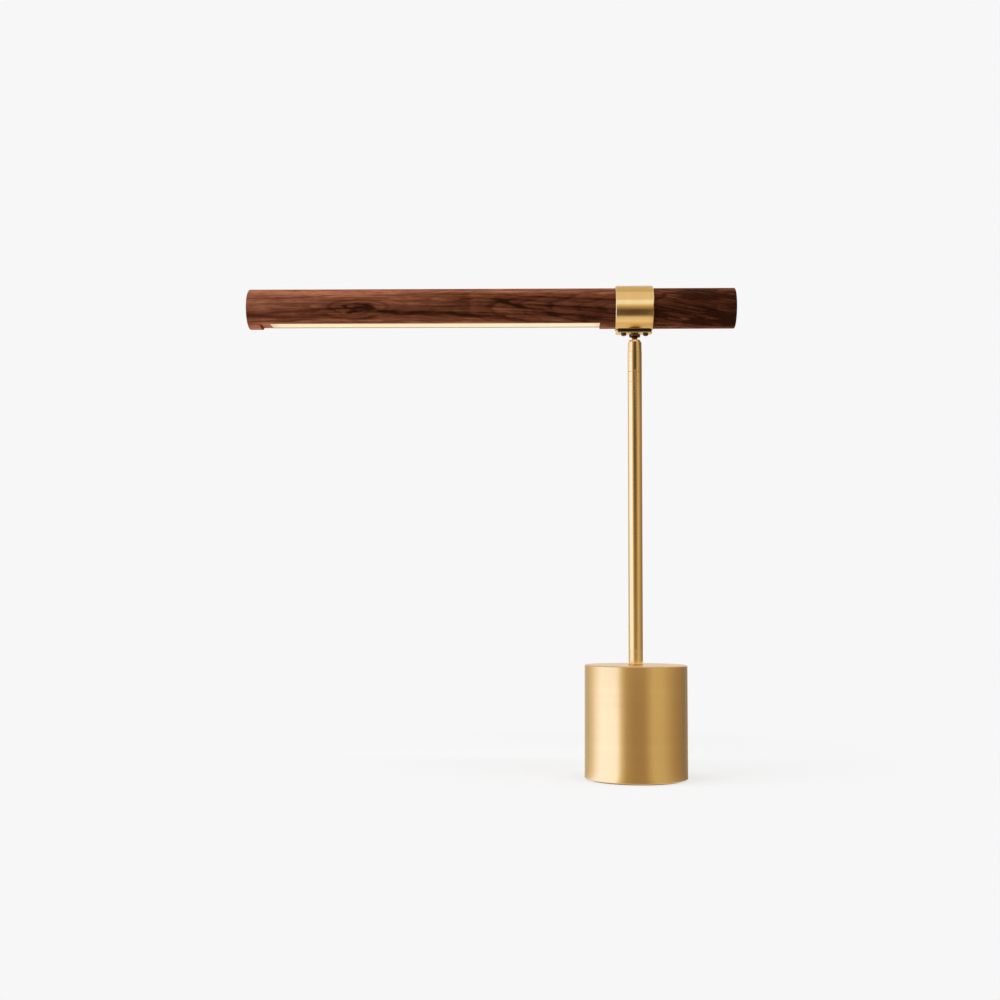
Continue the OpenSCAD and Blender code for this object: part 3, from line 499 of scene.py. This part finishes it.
def turned_brass(name, settings, axis, centre_z, polish, brush):
    """Satin brass with fine turning marks round one axis.

    polish lowers the roughness, and brush draws the highlights out.
    """
    g = Finish(name)
    x, y, z = g.split(g.place)
    if axis == "Z":
        radius, along = g.length(x, y), z
    else:
        radius, along = g.length(y, g.math("SUBTRACT", z, centre_z)), x
    profile = g.join(radius, along, 0.0)
    marks = g.noise(profile, 1.0 / settings.line_pitch, detail=4.0, roughness=0.65)
    bands = g.noise(profile, BANDS_PER_MARK / settings.line_pitch, detail=2.0)
    smudges = g.noise(g.place, 24.0, detail=4.0, roughness=0.6, distortion=0.4)
    tone = g.math("ADD", g.math("MULTIPLY", bands, 0.5), g.math("MULTIPLY", smudges, 0.5))
    colour = g.blend(g.between(tone, -0.6, 1.6), settings.colour, settings.deep_colour)
    colour = g.blend(g.between(marks, 0.0, 0.16), colour, settings.deep_colour)
    rough = settings.roughness - polish
    finish = g.math(
        "ADD", g.between(marks, rough - MARK_SPREAD, rough + MARK_SPREAD),
        g.between(smudges, -0.03, 0.04))
    faced = g.math("ABSOLUTE", g.split(g.facing)["XYZ".index(axis)])
    faced = g.ramp(faced, ((0.90, 0.0), (0.98, 1.0)))
    finish = g.math("MULTIPLY_ADD", faced, FACED_ROUGHER, finish)
    tangent = g.node("ShaderNodeTangent", direction_type="RADIAL", axis=axis)
    return g.surface(
        Base_Color=colour, Metallic=1.0, Roughness=finish, Anisotropic=brush,
        Anisotropic_Rotation=0.25, Tangent=tangent.outputs[0], Coat_Weight=LACQUER_WEIGHT,
        Coat_Roughness=LACQUER_ROUGHNESS, Normal=g.relief(marks, strength=0.10, depth=0.00004))


def wood_noise(g, vector, kind):
    """Noise that is drawn out along the bar."""
    along, across, detail, roughness = WOOD_NOISE[kind]
    return g.noise(g.stretch(vector, (along, across, across)), 1.0, detail, roughness)


def knot_distance(g, settings, x, z, warp):
    """The squared distance from the knot, in its own sizes."""
    along = g.math("DIVIDE", g.math("SUBTRACT", x, settings.knot[0]), settings.knot_size[0])
    along = g.math("MULTIPLY_ADD", warp, 1.2, along)
    rise = g.math("DIVIDE", g.math("SUBTRACT", z, settings.knot[2]), settings.knot_size[1])
    rise = g.math("MULTIPLY_ADD", warp, 2.1, rise)
    return g.squares(along, rise)


def year_rings(g, settings, warp, halo):
    """The dark late wood of the year rings, each of its own strength."""
    x, y, z = g.split(g.place)
    sway = g.math("SUBTRACT", wood_noise(g, g.place, "sway"), 0.5)
    reach = g.math("SMOOTH_MAX", x, PITH_TURN_X, PITH_TURN_SOFTNESS)
    away = g.math("MULTIPLY_ADD", reach, settings.pith_slope, settings.pith_depth + PITH_BACK)
    back = g.math("SUBTRACT", away, y)
    side = g.math("SUBTRACT", z, BAR_AXIS_Z + PITH_RISE)
    radius = g.length(back, side)
    for push, metres in ((sway, SWAY_REACH), (warp, WARP_REACH), (halo, HALO_REACH)):
        radius = g.math("MULTIPLY_ADD", push, metres, radius)
    count = g.math("DIVIDE", radius, settings.ring_width)
    each = g.noise(g.join(g.math("FLOOR", count), 0.0, 0.0), 3.7, detail=0.0)
    late = g.ramp(g.math("FRACT", count), LATE_WOOD, smooth=True)
    return g.math("MULTIPLY", late, g.math("MAXIMUM", g.between(each, -0.7, 2.0), 0.0))


def oiled_walnut(settings):
    """Walnut cut from one side of a tree, with a knot on its front, in the bar's own frame."""
    g = Finish("oiled_walnut")
    x, y, z = g.split(g.place)
    run = g.share(x, BAR_LOW.x, BAR_HIGH.x)
    front = g.math("MULTIPLY", g.math("MULTIPLY", y, -1.0 / BAR_RADIUS), 1.6, clamp=True)
    warp = g.math("SUBTRACT", wood_noise(g, g.place, "warp"), 0.5)
    span = knot_distance(g, settings, x, z, warp)
    knot, halo, shade = (
        g.math("MULTIPLY", g.bell(span, rate), front) for rate in (1.0, HALO_RATE, SHADE_RATE))

    fall = g.ramp(run, GRAIN_FALL)
    grain = g.join(x, y, g.math("MULTIPLY_ADD", fall, settings.grain_drop, z))
    fibre, streak, belt, figure = (
        wood_noise(g, grain, kind) for kind in ("fibre", "streak", "belt", "figure"))
    pores, lines = (g.ramp(wood_noise(g, grain, kind), FINE_MARKS) for kind in ("pores", "lines"))

    tone = g.math("MULTIPLY", year_rings(g, settings, warp, halo), g.ramp(run, RING_FADE))
    for value, tones in ((streak, STREAK_TONES), (belt, BELT_TONES), (figure, FIGURE_TONES)):
        tone = g.math("ADD", tone, g.between(value, *tones))
    tone = g.math("MULTIPLY_ADD", lines, LINE_TONE, tone)
    tone = g.math("ADD", tone, g.between(fibre, *FIBRE_TONES))
    tone = g.math("ADD", tone, g.ramp(run, HEART_TONES))

    wander = g.math("MULTIPLY_ADD", warp, VEIN_WANDER, z)
    width = g.between(streak, *VEIN_WIDTHS)
    for stops in VEINS:
        course = g.ramp(run, [(place, height) for place, height, strength in stops], smooth=True)
        shows = g.ramp(run, [(place, strength) for place, height, strength in stops])
        off = g.math("SUBTRACT", wander, g.math("MULTIPLY_ADD", course, VEIN_SPAN, BAR_LOW.z))
        off = g.math("DIVIDE", off, width)
        vein = g.math("MULTIPLY", g.bell(g.math("MULTIPLY", off, off)), front)
        tone = g.math("MULTIPLY_ADD", g.math("MULTIPLY", vein, shows), VEIN_TONE, tone)

    upward = g.split(g.facing)[2]
    # Painted reflection: faces that look straight down are made paler, as if they mirrored the pale
    # floor.
    painted_floor_reflection = g.ramp(g.math("MULTIPLY", upward, -1.0), ((0.93, 0.0), (0.99, 1.0)))
    tone = g.math("MULTIPLY_ADD", painted_floor_reflection, PAINTED_FLOOR_REFLECTION_TONE, tone)
    # Painted light from above: the wood is paler where its faces turn upwards.
    painted_top_light = g.ramp(upward, ((0.25, 0.0), (0.75, 1.0)))
    tone = g.math("MULTIPLY_ADD", painted_top_light, PAINTED_TOP_LIGHT_TONE, tone)
    patchy = g.math("MAXIMUM", g.between(figure, -1.0, 2.3), 0.12)
    eye = g.math("MULTIPLY", g.ramp(knot, KNOT_EYE), patchy)
    tone = g.math("MULTIPLY_ADD", eye, EYE_TONE, tone)
    tone = g.math("MULTIPLY_ADD", shade, SHADE_TONE, tone, clamp=True)

    colour = g.ramp(tone, (
        (0.0, settings.light_colour), (0.42, settings.mid_colour), (0.84, settings.dark_colour),
        (1.0, dimmed(settings.dark_colour, 0.42))))
    colour = g.blend(g.math("MULTIPLY", pores, 0.45), colour, settings.dark_colour)
    rough = g.math("ADD", g.between(fibre, 0.62, 0.74), g.math("MULTIPLY", pores, 0.12))
    height = g.math("SUBTRACT", g.math("MULTIPLY", fibre, 0.35), g.math("MULTIPLY", pores, 0.8))
    return g.surface(
        Base_Color=colour, Roughness=rough, Specular_IOR_Level=0.015,
        Specular_Tint=(1.0, 0.78, 0.50, 1.0),
        Normal=g.relief(height, strength=0.22, depth=0.00016))


def opal_acrylic(settings):
    """The diffuser and its end caps: satin opal with light behind it, warmer at the free end."""
    g = Finish("opal_acrylic")
    run = g.share(g.split(g.place)[0], STRIP_LOW.x, STRIP_HIGH.x)
    grain = g.noise(g.place, 900.0, detail=3.0)
    free_edge, near_edge = (
        [part * share for part, share in zip(glow, shares)]
        for glow, shares in (
            (settings.free_glow, (0.66, 0.56, 0.48)), (settings.near_glow, (0.86, 0.78, 0.70))))
    glow = g.ramp(run, (
        (0.0, free_edge), (0.028, settings.free_glow),
        (0.985, settings.near_glow), (1.0, near_edge)))
    cloud = g.between(g.noise(g.place, 70.0, detail=2.0), 0.0, 0.10)
    glow = g.blend(cloud, glow, settings.free_glow)
    body = g.blend(grain, (0.19, 0.17, 0.14), (0.22, 0.20, 0.17))
    return g.surface(
        Base_Color=body, Roughness=g.between(grain, 0.42, 0.56), Emission_Color=glow,
        Emission_Strength=settings.strength, Normal=g.relief(grain, strength=0.05, depth=0.00005))


def brushed_steel(name, colour, rough):
    """Plain metal hardware with fine rolled scratches and a trace of grime."""
    g = Finish(name)
    scratches = g.noise(
        g.stretch(g.place, (300.0, 2600.0, 700.0)), 1.0, detail=4.0, roughness=0.6)
    grime = g.noise(g.place, 130.0, detail=4.0, roughness=0.6)
    tint = g.blend(g.between(grime, 0.0, 0.7), colour, dimmed(colour, 0.62))
    rolled = g.between(scratches, rough - 0.08, rough + 0.08)
    return g.surface(
        Base_Color=tint, Metallic=1.0,
        Roughness=g.math("ADD", rolled, g.between(grime, 0.0, 0.08)),
        Normal=g.relief(scratches, strength=0.12, depth=0.00003))


def moulded(name, colour, rough, grain_scale, depth):
    """Moulded plastic or rubber with a fine spark-eroded grain."""
    g = Finish(name)
    grain = g.noise(g.place, grain_scale, detail=4.0, roughness=0.6)
    cloud = g.noise(g.place, 60.0, detail=3.0)
    tint = g.blend(g.between(cloud, 0.0, 1.0), colour, dimmed(colour, 0.78))
    return g.surface(
        Base_Color=tint, Roughness=g.between(grain, rough - 0.1, rough + 0.1),
        Specular_IOR_Level=0.4, Normal=g.relief(grain, strength=0.25, depth=depth))


def cast_iron():
    """Rough sand-cast iron with a thin black coat."""
    g = Finish("cast_iron_weight")
    sand = g.noise(g.place, 420.0, detail=6.0, roughness=0.7)
    rust = g.noise(g.place, 38.0, detail=5.0, roughness=0.65)
    rust = g.ramp(rust, ((0.55, 0.0), (0.75, 1.0)))
    tint = g.blend(sand, (0.040, 0.040, 0.042), (0.085, 0.083, 0.080))
    tint = g.blend(g.math("MULTIPLY", rust, 0.35), tint, (0.11, 0.045, 0.02))
    return g.surface(
        Base_Color=tint, Metallic=0.6, Roughness=g.between(sand, 0.52, 0.78),
        Normal=g.relief(sand, strength=0.6, depth=0.0004))


def circuit_board():
    """White solder mask over copper tracks that run along the board."""
    g = Finish("circuit_board_mask")
    tracks = g.math("FRACT", g.math("MULTIPLY", g.split(g.place)[1], 420.0))
    tracks = g.ramp(tracks, ((0.40, 0.0), (0.46, 1.0), (0.86, 1.0), (0.92, 0.0)))
    speck = g.noise(g.place, 1500.0, detail=2.0)
    tint = g.blend(g.math("MULTIPLY", tracks, 0.12), (0.80, 0.80, 0.76), (0.62, 0.50, 0.34))
    return g.surface(
        Base_Color=tint, Roughness=g.between(speck, 0.30, 0.42),
        Normal=g.relief(tracks, strength=0.2, depth=0.00004))


def diode_phosphor():
    """Yellow phosphor gel in a white cup."""
    g = Finish("diode_phosphor")
    gel = g.noise(g.place, 2200.0, detail=3.0)
    tint = g.blend(gel, (0.86, 0.62, 0.16), (0.92, 0.74, 0.30))
    glow = g.blend(gel, (1.0, 0.80, 0.50), (1.0, 0.90, 0.66))
    return g.surface(
        Base_Color=tint, Roughness=g.between(gel, 0.22, 0.40), Emission_Color=glow,
        Emission_Strength=0.5)


def pressed_felt():
    """Black wool felt: matted fibres with a soft nap."""
    g = Finish("pressed_felt")
    fibres = g.noise(g.place, 1400.0, detail=5.0, roughness=0.7, distortion=1.5)
    mat = g.noise(g.place, 160.0, detail=4.0, roughness=0.6)
    tint = g.blend(fibres, (0.012, 0.012, 0.013), (0.050, 0.049, 0.050))
    tint = g.blend(g.between(mat, 0.0, 0.5), tint, (0.020, 0.020, 0.021))
    return g.surface(
        Base_Color=tint, Roughness=g.between(fibres, 0.86, 1.0), Specular_IOR_Level=0.15,
        Sheen_Weight=0.35, Sheen_Roughness=0.5,
        Normal=g.relief(fibres, strength=0.9, depth=0.0004))


def add_object(name, data):
    """Puts a new object in the scene."""
    made = bpy.data.objects.new(name, data)
    bpy.context.scene.collection.objects.link(made)
    return made


def circle(radius, height, sides):
    """Points round the Z axis."""
    turns = (2 * math.pi * side / sides for side in range(sides))
    return [(radius * math.cos(turn), radius * math.sin(turn), height) for turn in turns]


def spun_profile(name, profile, sides):
    """A closed mesh turned about Z from (radius, height) points that start and end on the axis."""
    mesh = bpy.data.meshes.new(name)
    shape = bmesh.new()
    rings = []
    for radius, height in profile:
        points = circle(radius, height, sides) if radius > 0.0 else [(0.0, 0.0, height)]
        rings.append([shape.verts.new(point) for point in points])
    for low, high in zip(rings, rings[1:]):
        for side in range(sides):
            after = (side + 1) % sides
            if len(low) == 1:
                shape.faces.new((low[0], high[after], high[side]))
            elif len(high) == 1:
                shape.faces.new((low[side], low[after], high[0]))
            else:
                shape.faces.new((low[side], low[after], high[after], high[side]))
    bmesh.ops.recalc_face_normals(shape, faces=shape.faces)
    shape.to_mesh(mesh)
    shape.free()
    mesh.shade_smooth()
    return add_object(name, mesh)


class LAMP_OT_dress_brass(bpy.types.Operator):
    """Gives the base, stem, joint, collar and saddle plate their turned brass"""
    bl_idname = "lamp.dress_brass"
    bl_label = "Brass Pieces"

    def execute(self, context):
        settings = context.scene.table_lamp.brass
        for name, pieces, axis, centre_z, polish, brush in TURNED_BRASS:
            dress(pieces, turned_brass(name, settings, axis, centre_z, polish, brush))
        return {"FINISHED"}


class LAMP_OT_dress_walnut(bpy.types.Operator):
    """Gives the light bar its oiled walnut"""
    bl_idname = "lamp.dress_walnut"
    bl_label = "Walnut Bar"

    def execute(self, context):
        dress(("light_bar",), oiled_walnut(context.scene.table_lamp.walnut))
        return {"FINISHED"}


class LAMP_OT_dress_strip(bpy.types.Operator):
    """Gives the light strip its opal cover, aluminium channel, board and diodes"""
    bl_idname = "lamp.dress_strip"
    bl_label = "Light Strip"

    def execute(self, context):
        dress(OPAL, opal_acrylic(context.scene.table_lamp.strip))
        dress(("led_profile",), brushed_steel("drawn_aluminium", (0.80, 0.81, 0.82), 0.38))
        dress(("led_board",), circuit_board())
        dress(("led_chips",), diode_phosphor())
        return {"FINISHED"}


class LAMP_OT_dress_hardware(bpy.types.Operator):
    """Gives the screws, nuts, springs, posts and plate their steel, and the weight its iron"""
    bl_idname = "lamp.dress_hardware"
    bl_label = "Steel Hardware"

    def execute(self, context):
        for name, pieces, colour, rough in STEELS:
            dress(pieces, brushed_steel(name, colour, rough))
        dress(("base_weight",), cast_iron())
        return {"FINISHED"}


class LAMP_OT_dress_mouldings(bpy.types.Operator):
    """Gives the gasket, inlet, driver, leads and liner their rubber and plastics"""
    bl_idname = "lamp.dress_mouldings"
    bl_label = "Rubber and Plastics"

    def execute(self, context):
        for name, pieces, colour, rough, grain_scale, depth in MOULDINGS:
            dress(pieces, moulded(name, colour, rough, grain_scale, depth))
        return {"FINISHED"}


class LAMP_OT_make_foot(bpy.types.Operator):
    """Makes the felt foot, with a rounded and slightly frayed rim, in place of its plain solid"""
    bl_idname = "lamp.make_foot"
    bl_label = "Felt Foot"

    def execute(self, context):
        radius = PAD_HIGH.x
        top = PAD_HIGH.z
        low = PAD_LOW.z
        rim = FELT_RIM * (top - low)
        rows = [(0.0, low), (radius * 0.35, low), (radius * 0.7, low), (radius - rim * 1.6, low)]
        rows += [
            (radius - rim + rim * math.sin(turn), low + rim - rim * math.cos(turn))
            for turn in (math.pi / 2 * step / RIM_STEPS for step in range(RIM_STEPS + 1))]
        rows += [(radius, top - rim), (radius - rim * 0.3, top - rim * 0.2), (radius - rim, top)]
        rows += [(radius * 0.5, top), (0.0, top)]
        foot = spun_profile("felt_foot", rows, context.scene.table_lamp.pad_sides)
        for vertex in foot.data.vertices:
            reach = math.hypot(vertex.co.x, vertex.co.y)
            if reach > radius - 1.5 * rim:
                turn = math.atan2(vertex.co.y, vertex.co.x)
                fray = 0.5
                for size, number, lag in FRAY_WAVES:
                    fray += size * math.sin(number * turn + lag)
                shrink = 1.0 - FELT_FRAY * fray
                vertex.co.x *= shrink
                vertex.co.y *= shrink
        foot.data.materials.append(pressed_felt())
        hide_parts("foot_pad")
        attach(foot, "base")
        return {"FINISHED"}


def aim(place, target):
    """The matrix of something at place whose -Z looks at target."""
    look = (Vector(target) - Vector(place)).to_track_quat("-Z", "Y")
    return Matrix.Translation(place) @ look.to_matrix().to_4x4()


def round_lamp(azimuth, height, reach):
    """A point round the lamp. Azimuth 0 is towards the camera and 90 is on its right."""
    turn = math.radians(azimuth)
    return Vector((math.sin(turn) * reach, -math.cos(turn) * reach, height))


# Soft boxes: name, which is also that of the setting for their brightness, place, target, width
# and height.
LAMP_MIDDLE = (0.0, 0.0, 0.30)
SOFT_BOXES = (
    ("key", round_lamp(-66.0, 0.75, 1.35), LAMP_MIDDLE, 1.45, 1.6),
    ("fill", round_lamp(50.0, 0.70, 1.45), LAMP_MIDDLE, 0.95, 1.6),
    ("top", Vector((-0.1, -0.10, 1.75)), (-0.1, 0.0, 0.46), 1.4, 0.8),
    ("bounce", Vector((-0.42, -0.12, 0.07)), (-0.42, -0.02, 0.46), 0.65, 0.36),
)


def soft_box(name, place, target, width, height, level):
    """An area light whose face has the given brightness."""
    lamp = bpy.data.lights.new(name, "AREA")
    lamp.shape = "RECTANGLE"
    lamp.size = width
    lamp.size_y = height
    lamp.energy = level * math.pi * width * height
    made = add_object(name, lamp)
    made.matrix_world = aim(place, target)
    made.visible_camera = False
    made.visible_glossy = False


def stage_sheet(name, points, faces, material, matrix=Matrix.Identity(4)):
    """A sheet that belongs to the stage."""
    mesh = bpy.data.meshes.new(name)
    mesh.from_pydata(points, [], faces)
    mesh.materials.append(material)
    made = add_object(name, mesh)
    made.matrix_world = matrix
    return made


def flat_sheet(name, matrix, width, height, material):
    """A flat sheet in the stage."""
    w, h = width / 2, height / 2
    corners = [(-w, -h, 0), (w, -h, 0), (w, h, 0), (-w, h, 0)]
    return stage_sheet(name, corners, [(0, 1, 2, 3)], material, matrix)


def round_sheet(name, first, second, material):
    """A round sheet in the stage between two circles, each given as its radius and height."""
    points = circle(*first, TENT_SIDES) + circle(*second, TENT_SIDES)
    faces = []
    for side in range(TENT_SIDES):
        after = (side + 1) % TENT_SIDES
        faces.append((side, TENT_SIDES + side, TENT_SIDES + after, after))
    return stage_sheet(name, points, faces, material)


def in_reflections_only(made):
    """Lets a sheet of the stage show in polished surfaces and nowhere else."""
    made.visible_camera = False
    made.visible_diffuse = False
    made.visible_shadow = False
    made.visible_transmission = False


def tent_cloth():
    """Soft tones round the tent, bright on the left and dim in front.

    They are placed where the base's side mirrors them.
    """
    g = Finish("tent_cloth")
    x, y, z = g.split(g.place)
    turn = g.math("ARCTAN2", x, g.math("MULTIPLY", y, -1.0))
    lag = g.math("DIVIDE", g.math("SINE", g.math("MULTIPLY", turn, 0.5)), g.length(x, y))
    turn = g.math("ADD", turn, g.math("ARCSINE", g.math("MULTIPLY", lag, BASE_RADIUS)))
    turn = g.math("ADD", g.math("DIVIDE", turn, 2 * math.pi), 0.5)
    foot, body, head = (
        g.ramp(turn, [((azimuth + 180.0) / 360.0, value) for azimuth, value in levels])
        for levels in (TENT_FOOT, TENT_BODY, TENT_HEAD))
    level = g.blend(g.ramp(z, ((0.06, 0.0), (0.46, 1.0))), foot, body)
    level = g.blend(g.ramp(z, ((0.58, 0.0), (0.68, 1.0))), level, head)
    level = g.blend(g.ramp(z, ((0.76, 0.0), (1.0, 1.0)), smooth=True), level, TENT_SHOULDER)
    above = g.ramp(g.math("SUBTRACT", z, 1.0), ((0.20, 0.0), (0.70, 1.0)))
    level = g.blend(above, level, TENT_CROWN)
    tones = g.ramp(level, TENT_TINTS)
    return g.show(g.output("ShaderNodeEmission", Color=tones, Strength=TENT_PEAK))


def fading_cloth(name, height, low, high, tint, one_sided):
    """The tent's tones, from level low at a sheet's lower edge to level high at its upper one."""
    g = Finish(name)
    weave = g.between(g.noise(g.place, 3.0, detail=2.0), -0.02, 0.02)
    rise = g.math("MULTIPLY_ADD", g.split(g.place)[1], 1.0 / height, 0.5)
    tones = g.ramp(g.math("ADD", weave, g.between(rise, low, high)), TENT_TINTS)
    glow = g.output("ShaderNodeEmission", Color=g.stretch(tones, tint), Strength=TENT_PEAK)
    return g.show(g.clear_back(glow) if one_sided else glow)


def pitch_tent():
    """Puts up the sheets that give the brass its bands."""
    cloth = tent_cloth()
    sheets = [
        round_sheet("tent_wall", (TENT_RADIUS, CARPET_Z), (TENT_RADIUS, TENT_HEIGHT), cloth),
        round_sheet(
            "tent_carpet", (BASE_RADIUS + SHEET_GAP, CARPET_Z), (TENT_RADIUS, CARPET_Z), cloth),
    ]
    for name, first, second, span, low, high, tint in TENT_RINGS:
        fading = fading_cloth(name + "_cloth", span, low, high, tint, one_sided=True)
        sheets.append(round_sheet(name, first, second, fading))
    for name, place, target, width, height, low, high, tint in TENT_CARDS:
        lies = target is None
        matrix = Matrix.Translation(place) if lies else aim(place, target)
        fading = fading_cloth(name + "_cloth", height, low, high, tint, one_sided=lies)
        sheets.append(flat_sheet(name, matrix, width, height, fading))
    for sheet in sheets:
        in_reflections_only(sheet)


def paper_floor(paper):
    """The pale floor.

    It shows the lamp's shadow close by, joins the background further out and is clear from below.
    """
    g = Finish("pale_paper_floor")
    x, y = g.split(g.place)[:2]
    near = g.ramp(g.length(x, y), ((0.0, 1.0), (0.10, 1.0), (0.42, 0.0)), smooth=True)
    plain = g.output("ShaderNodeBsdfDiffuse", Color=rgba(dimmed(paper, 0.86)))
    shaded = g.output("ShaderNodeBsdfDiffuse", Color=rgba(dimmed(paper, 0.40)))
    lift = g.output("ShaderNodeEmission", Color=rgba(dimmed(paper, 0.62)))
    both = g.fed(g.node("ShaderNodeAddShader"), shaded, lift)
    even = g.output("ShaderNodeEmission", Color=rgba(paper))
    whole = g.mix(g.seen_rays(), plain, g.mix(near, even, both))
    return g.show(g.clear_back(whole))


def pale_room(settings):
    """The world: an even light, and the background's colour where it is seen."""
    g = Graph(bpy.data.worlds.new("pale_room"))
    even = g.output("ShaderNodeBackground", Color=grey(1.0), Strength=settings.ambient)
    shown = g.output("ShaderNodeBackground", Color=rgba(settings.paper))
    return g.show(g.mix(g.seen_rays(), even, shown), "ShaderNodeOutputWorld")


def photo_camera(settings):
    """The camera, turned to the left, raised and rolled."""
    eye = bpy.data.cameras.new("photo_camera")
    eye.lens = settings.lens
    eye.sensor_width = SENSOR_WIDTH
    turn, rise, roll = settings.camera_turn
    forward = Vector((
        -math.sin(turn) * math.cos(rise), math.cos(turn) * math.cos(rise), math.sin(rise)))
    right = Vector((math.cos(turn), math.sin(turn), 0.0))
    upward = right.cross(forward)
    across = right * math.cos(roll) + upward * math.sin(roll)
    upright = upward * math.cos(roll) - right * math.sin(roll)
    stand = Matrix((across, upright, -forward)).transposed().to_4x4()
    camera = add_object("photo_camera", eye)
    camera.matrix_world = Matrix.Translation(settings.camera_place) @ stand
    return camera


class LAMP_OT_make_stage(bpy.types.Operator):
    """Makes the floor, the background, the soft boxes, the tent and the camera"""
    bl_idname = "lamp.make_stage"
    bl_label = "Stage"

    def execute(self, context):
        scene = context.scene
        settings = scene.table_lamp.stage
        scene.view_settings.view_transform = "Standard"
        ground = Matrix.Translation(FLOOR_PLACE)
        flat_sheet("pale_floor", ground, FLOOR_SIZE, FLOOR_SIZE, paper_floor(settings.paper))
        scene.world = pale_room(settings)
        for name, place, target, width, height in SOFT_BOXES:
            level = getattr(settings, name)
            soft_box(name + "_soft_box", place, target, width, height, level)
        pitch_tent()
        scene.camera = photo_camera(settings)
        return {"FINISHED"}


class LAMP_PT_dressing(bpy.types.Panel):
    """Lists the steps that dress the lamp"""
    bl_idname = "LAMP_PT_dressing"
    bl_label = "Table Lamp"
    bl_space_type = "VIEW_3D"
    bl_region_type = "UI"
    bl_category = "Table Lamp"

    def draw(self, context):
        for step in STEPS:
            self.layout.operator(step.bl_idname)
        for part in ("brass", "walnut", "strip", "stage"):
            box = self.layout.box()
            box.label(text=part.capitalize())
            group = getattr(context.scene.table_lamp, part)
            for name in group.__annotations__:
                box.prop(group, name)
        self.layout.prop(context.scene.table_lamp, "pad_sides")


STEPS = (
    LAMP_OT_dress_brass, LAMP_OT_dress_walnut, LAMP_OT_dress_strip, LAMP_OT_dress_hardware,
    LAMP_OT_dress_mouldings, LAMP_OT_make_foot, LAMP_OT_make_stage,
)
CLASSES = (
    LampBrassSettings, LampWalnutSettings, LampStripSettings, LampStageSettings, LampSettings,
) + STEPS + (LAMP_PT_dressing,)


def register():
    for kind in CLASSES:
        bpy.utils.register_class(kind)
    bpy.types.Scene.table_lamp = PointerProperty(type=LampSettings)


def unregister():
    del bpy.types.Scene.table_lamp
    for kind in reversed(CLASSES):
        bpy.utils.unregister_class(kind)


def main():
    register()
    for step in (
        bpy.ops.lamp.dress_brass, bpy.ops.lamp.dress_walnut, bpy.ops.lamp.dress_strip,
        bpy.ops.lamp.dress_hardware, bpy.ops.lamp.dress_mouldings, bpy.ops.lamp.make_foot,
        bpy.ops.lamp.make_stage,
    ):
        step()


if __name__ == "__main__":
    main()
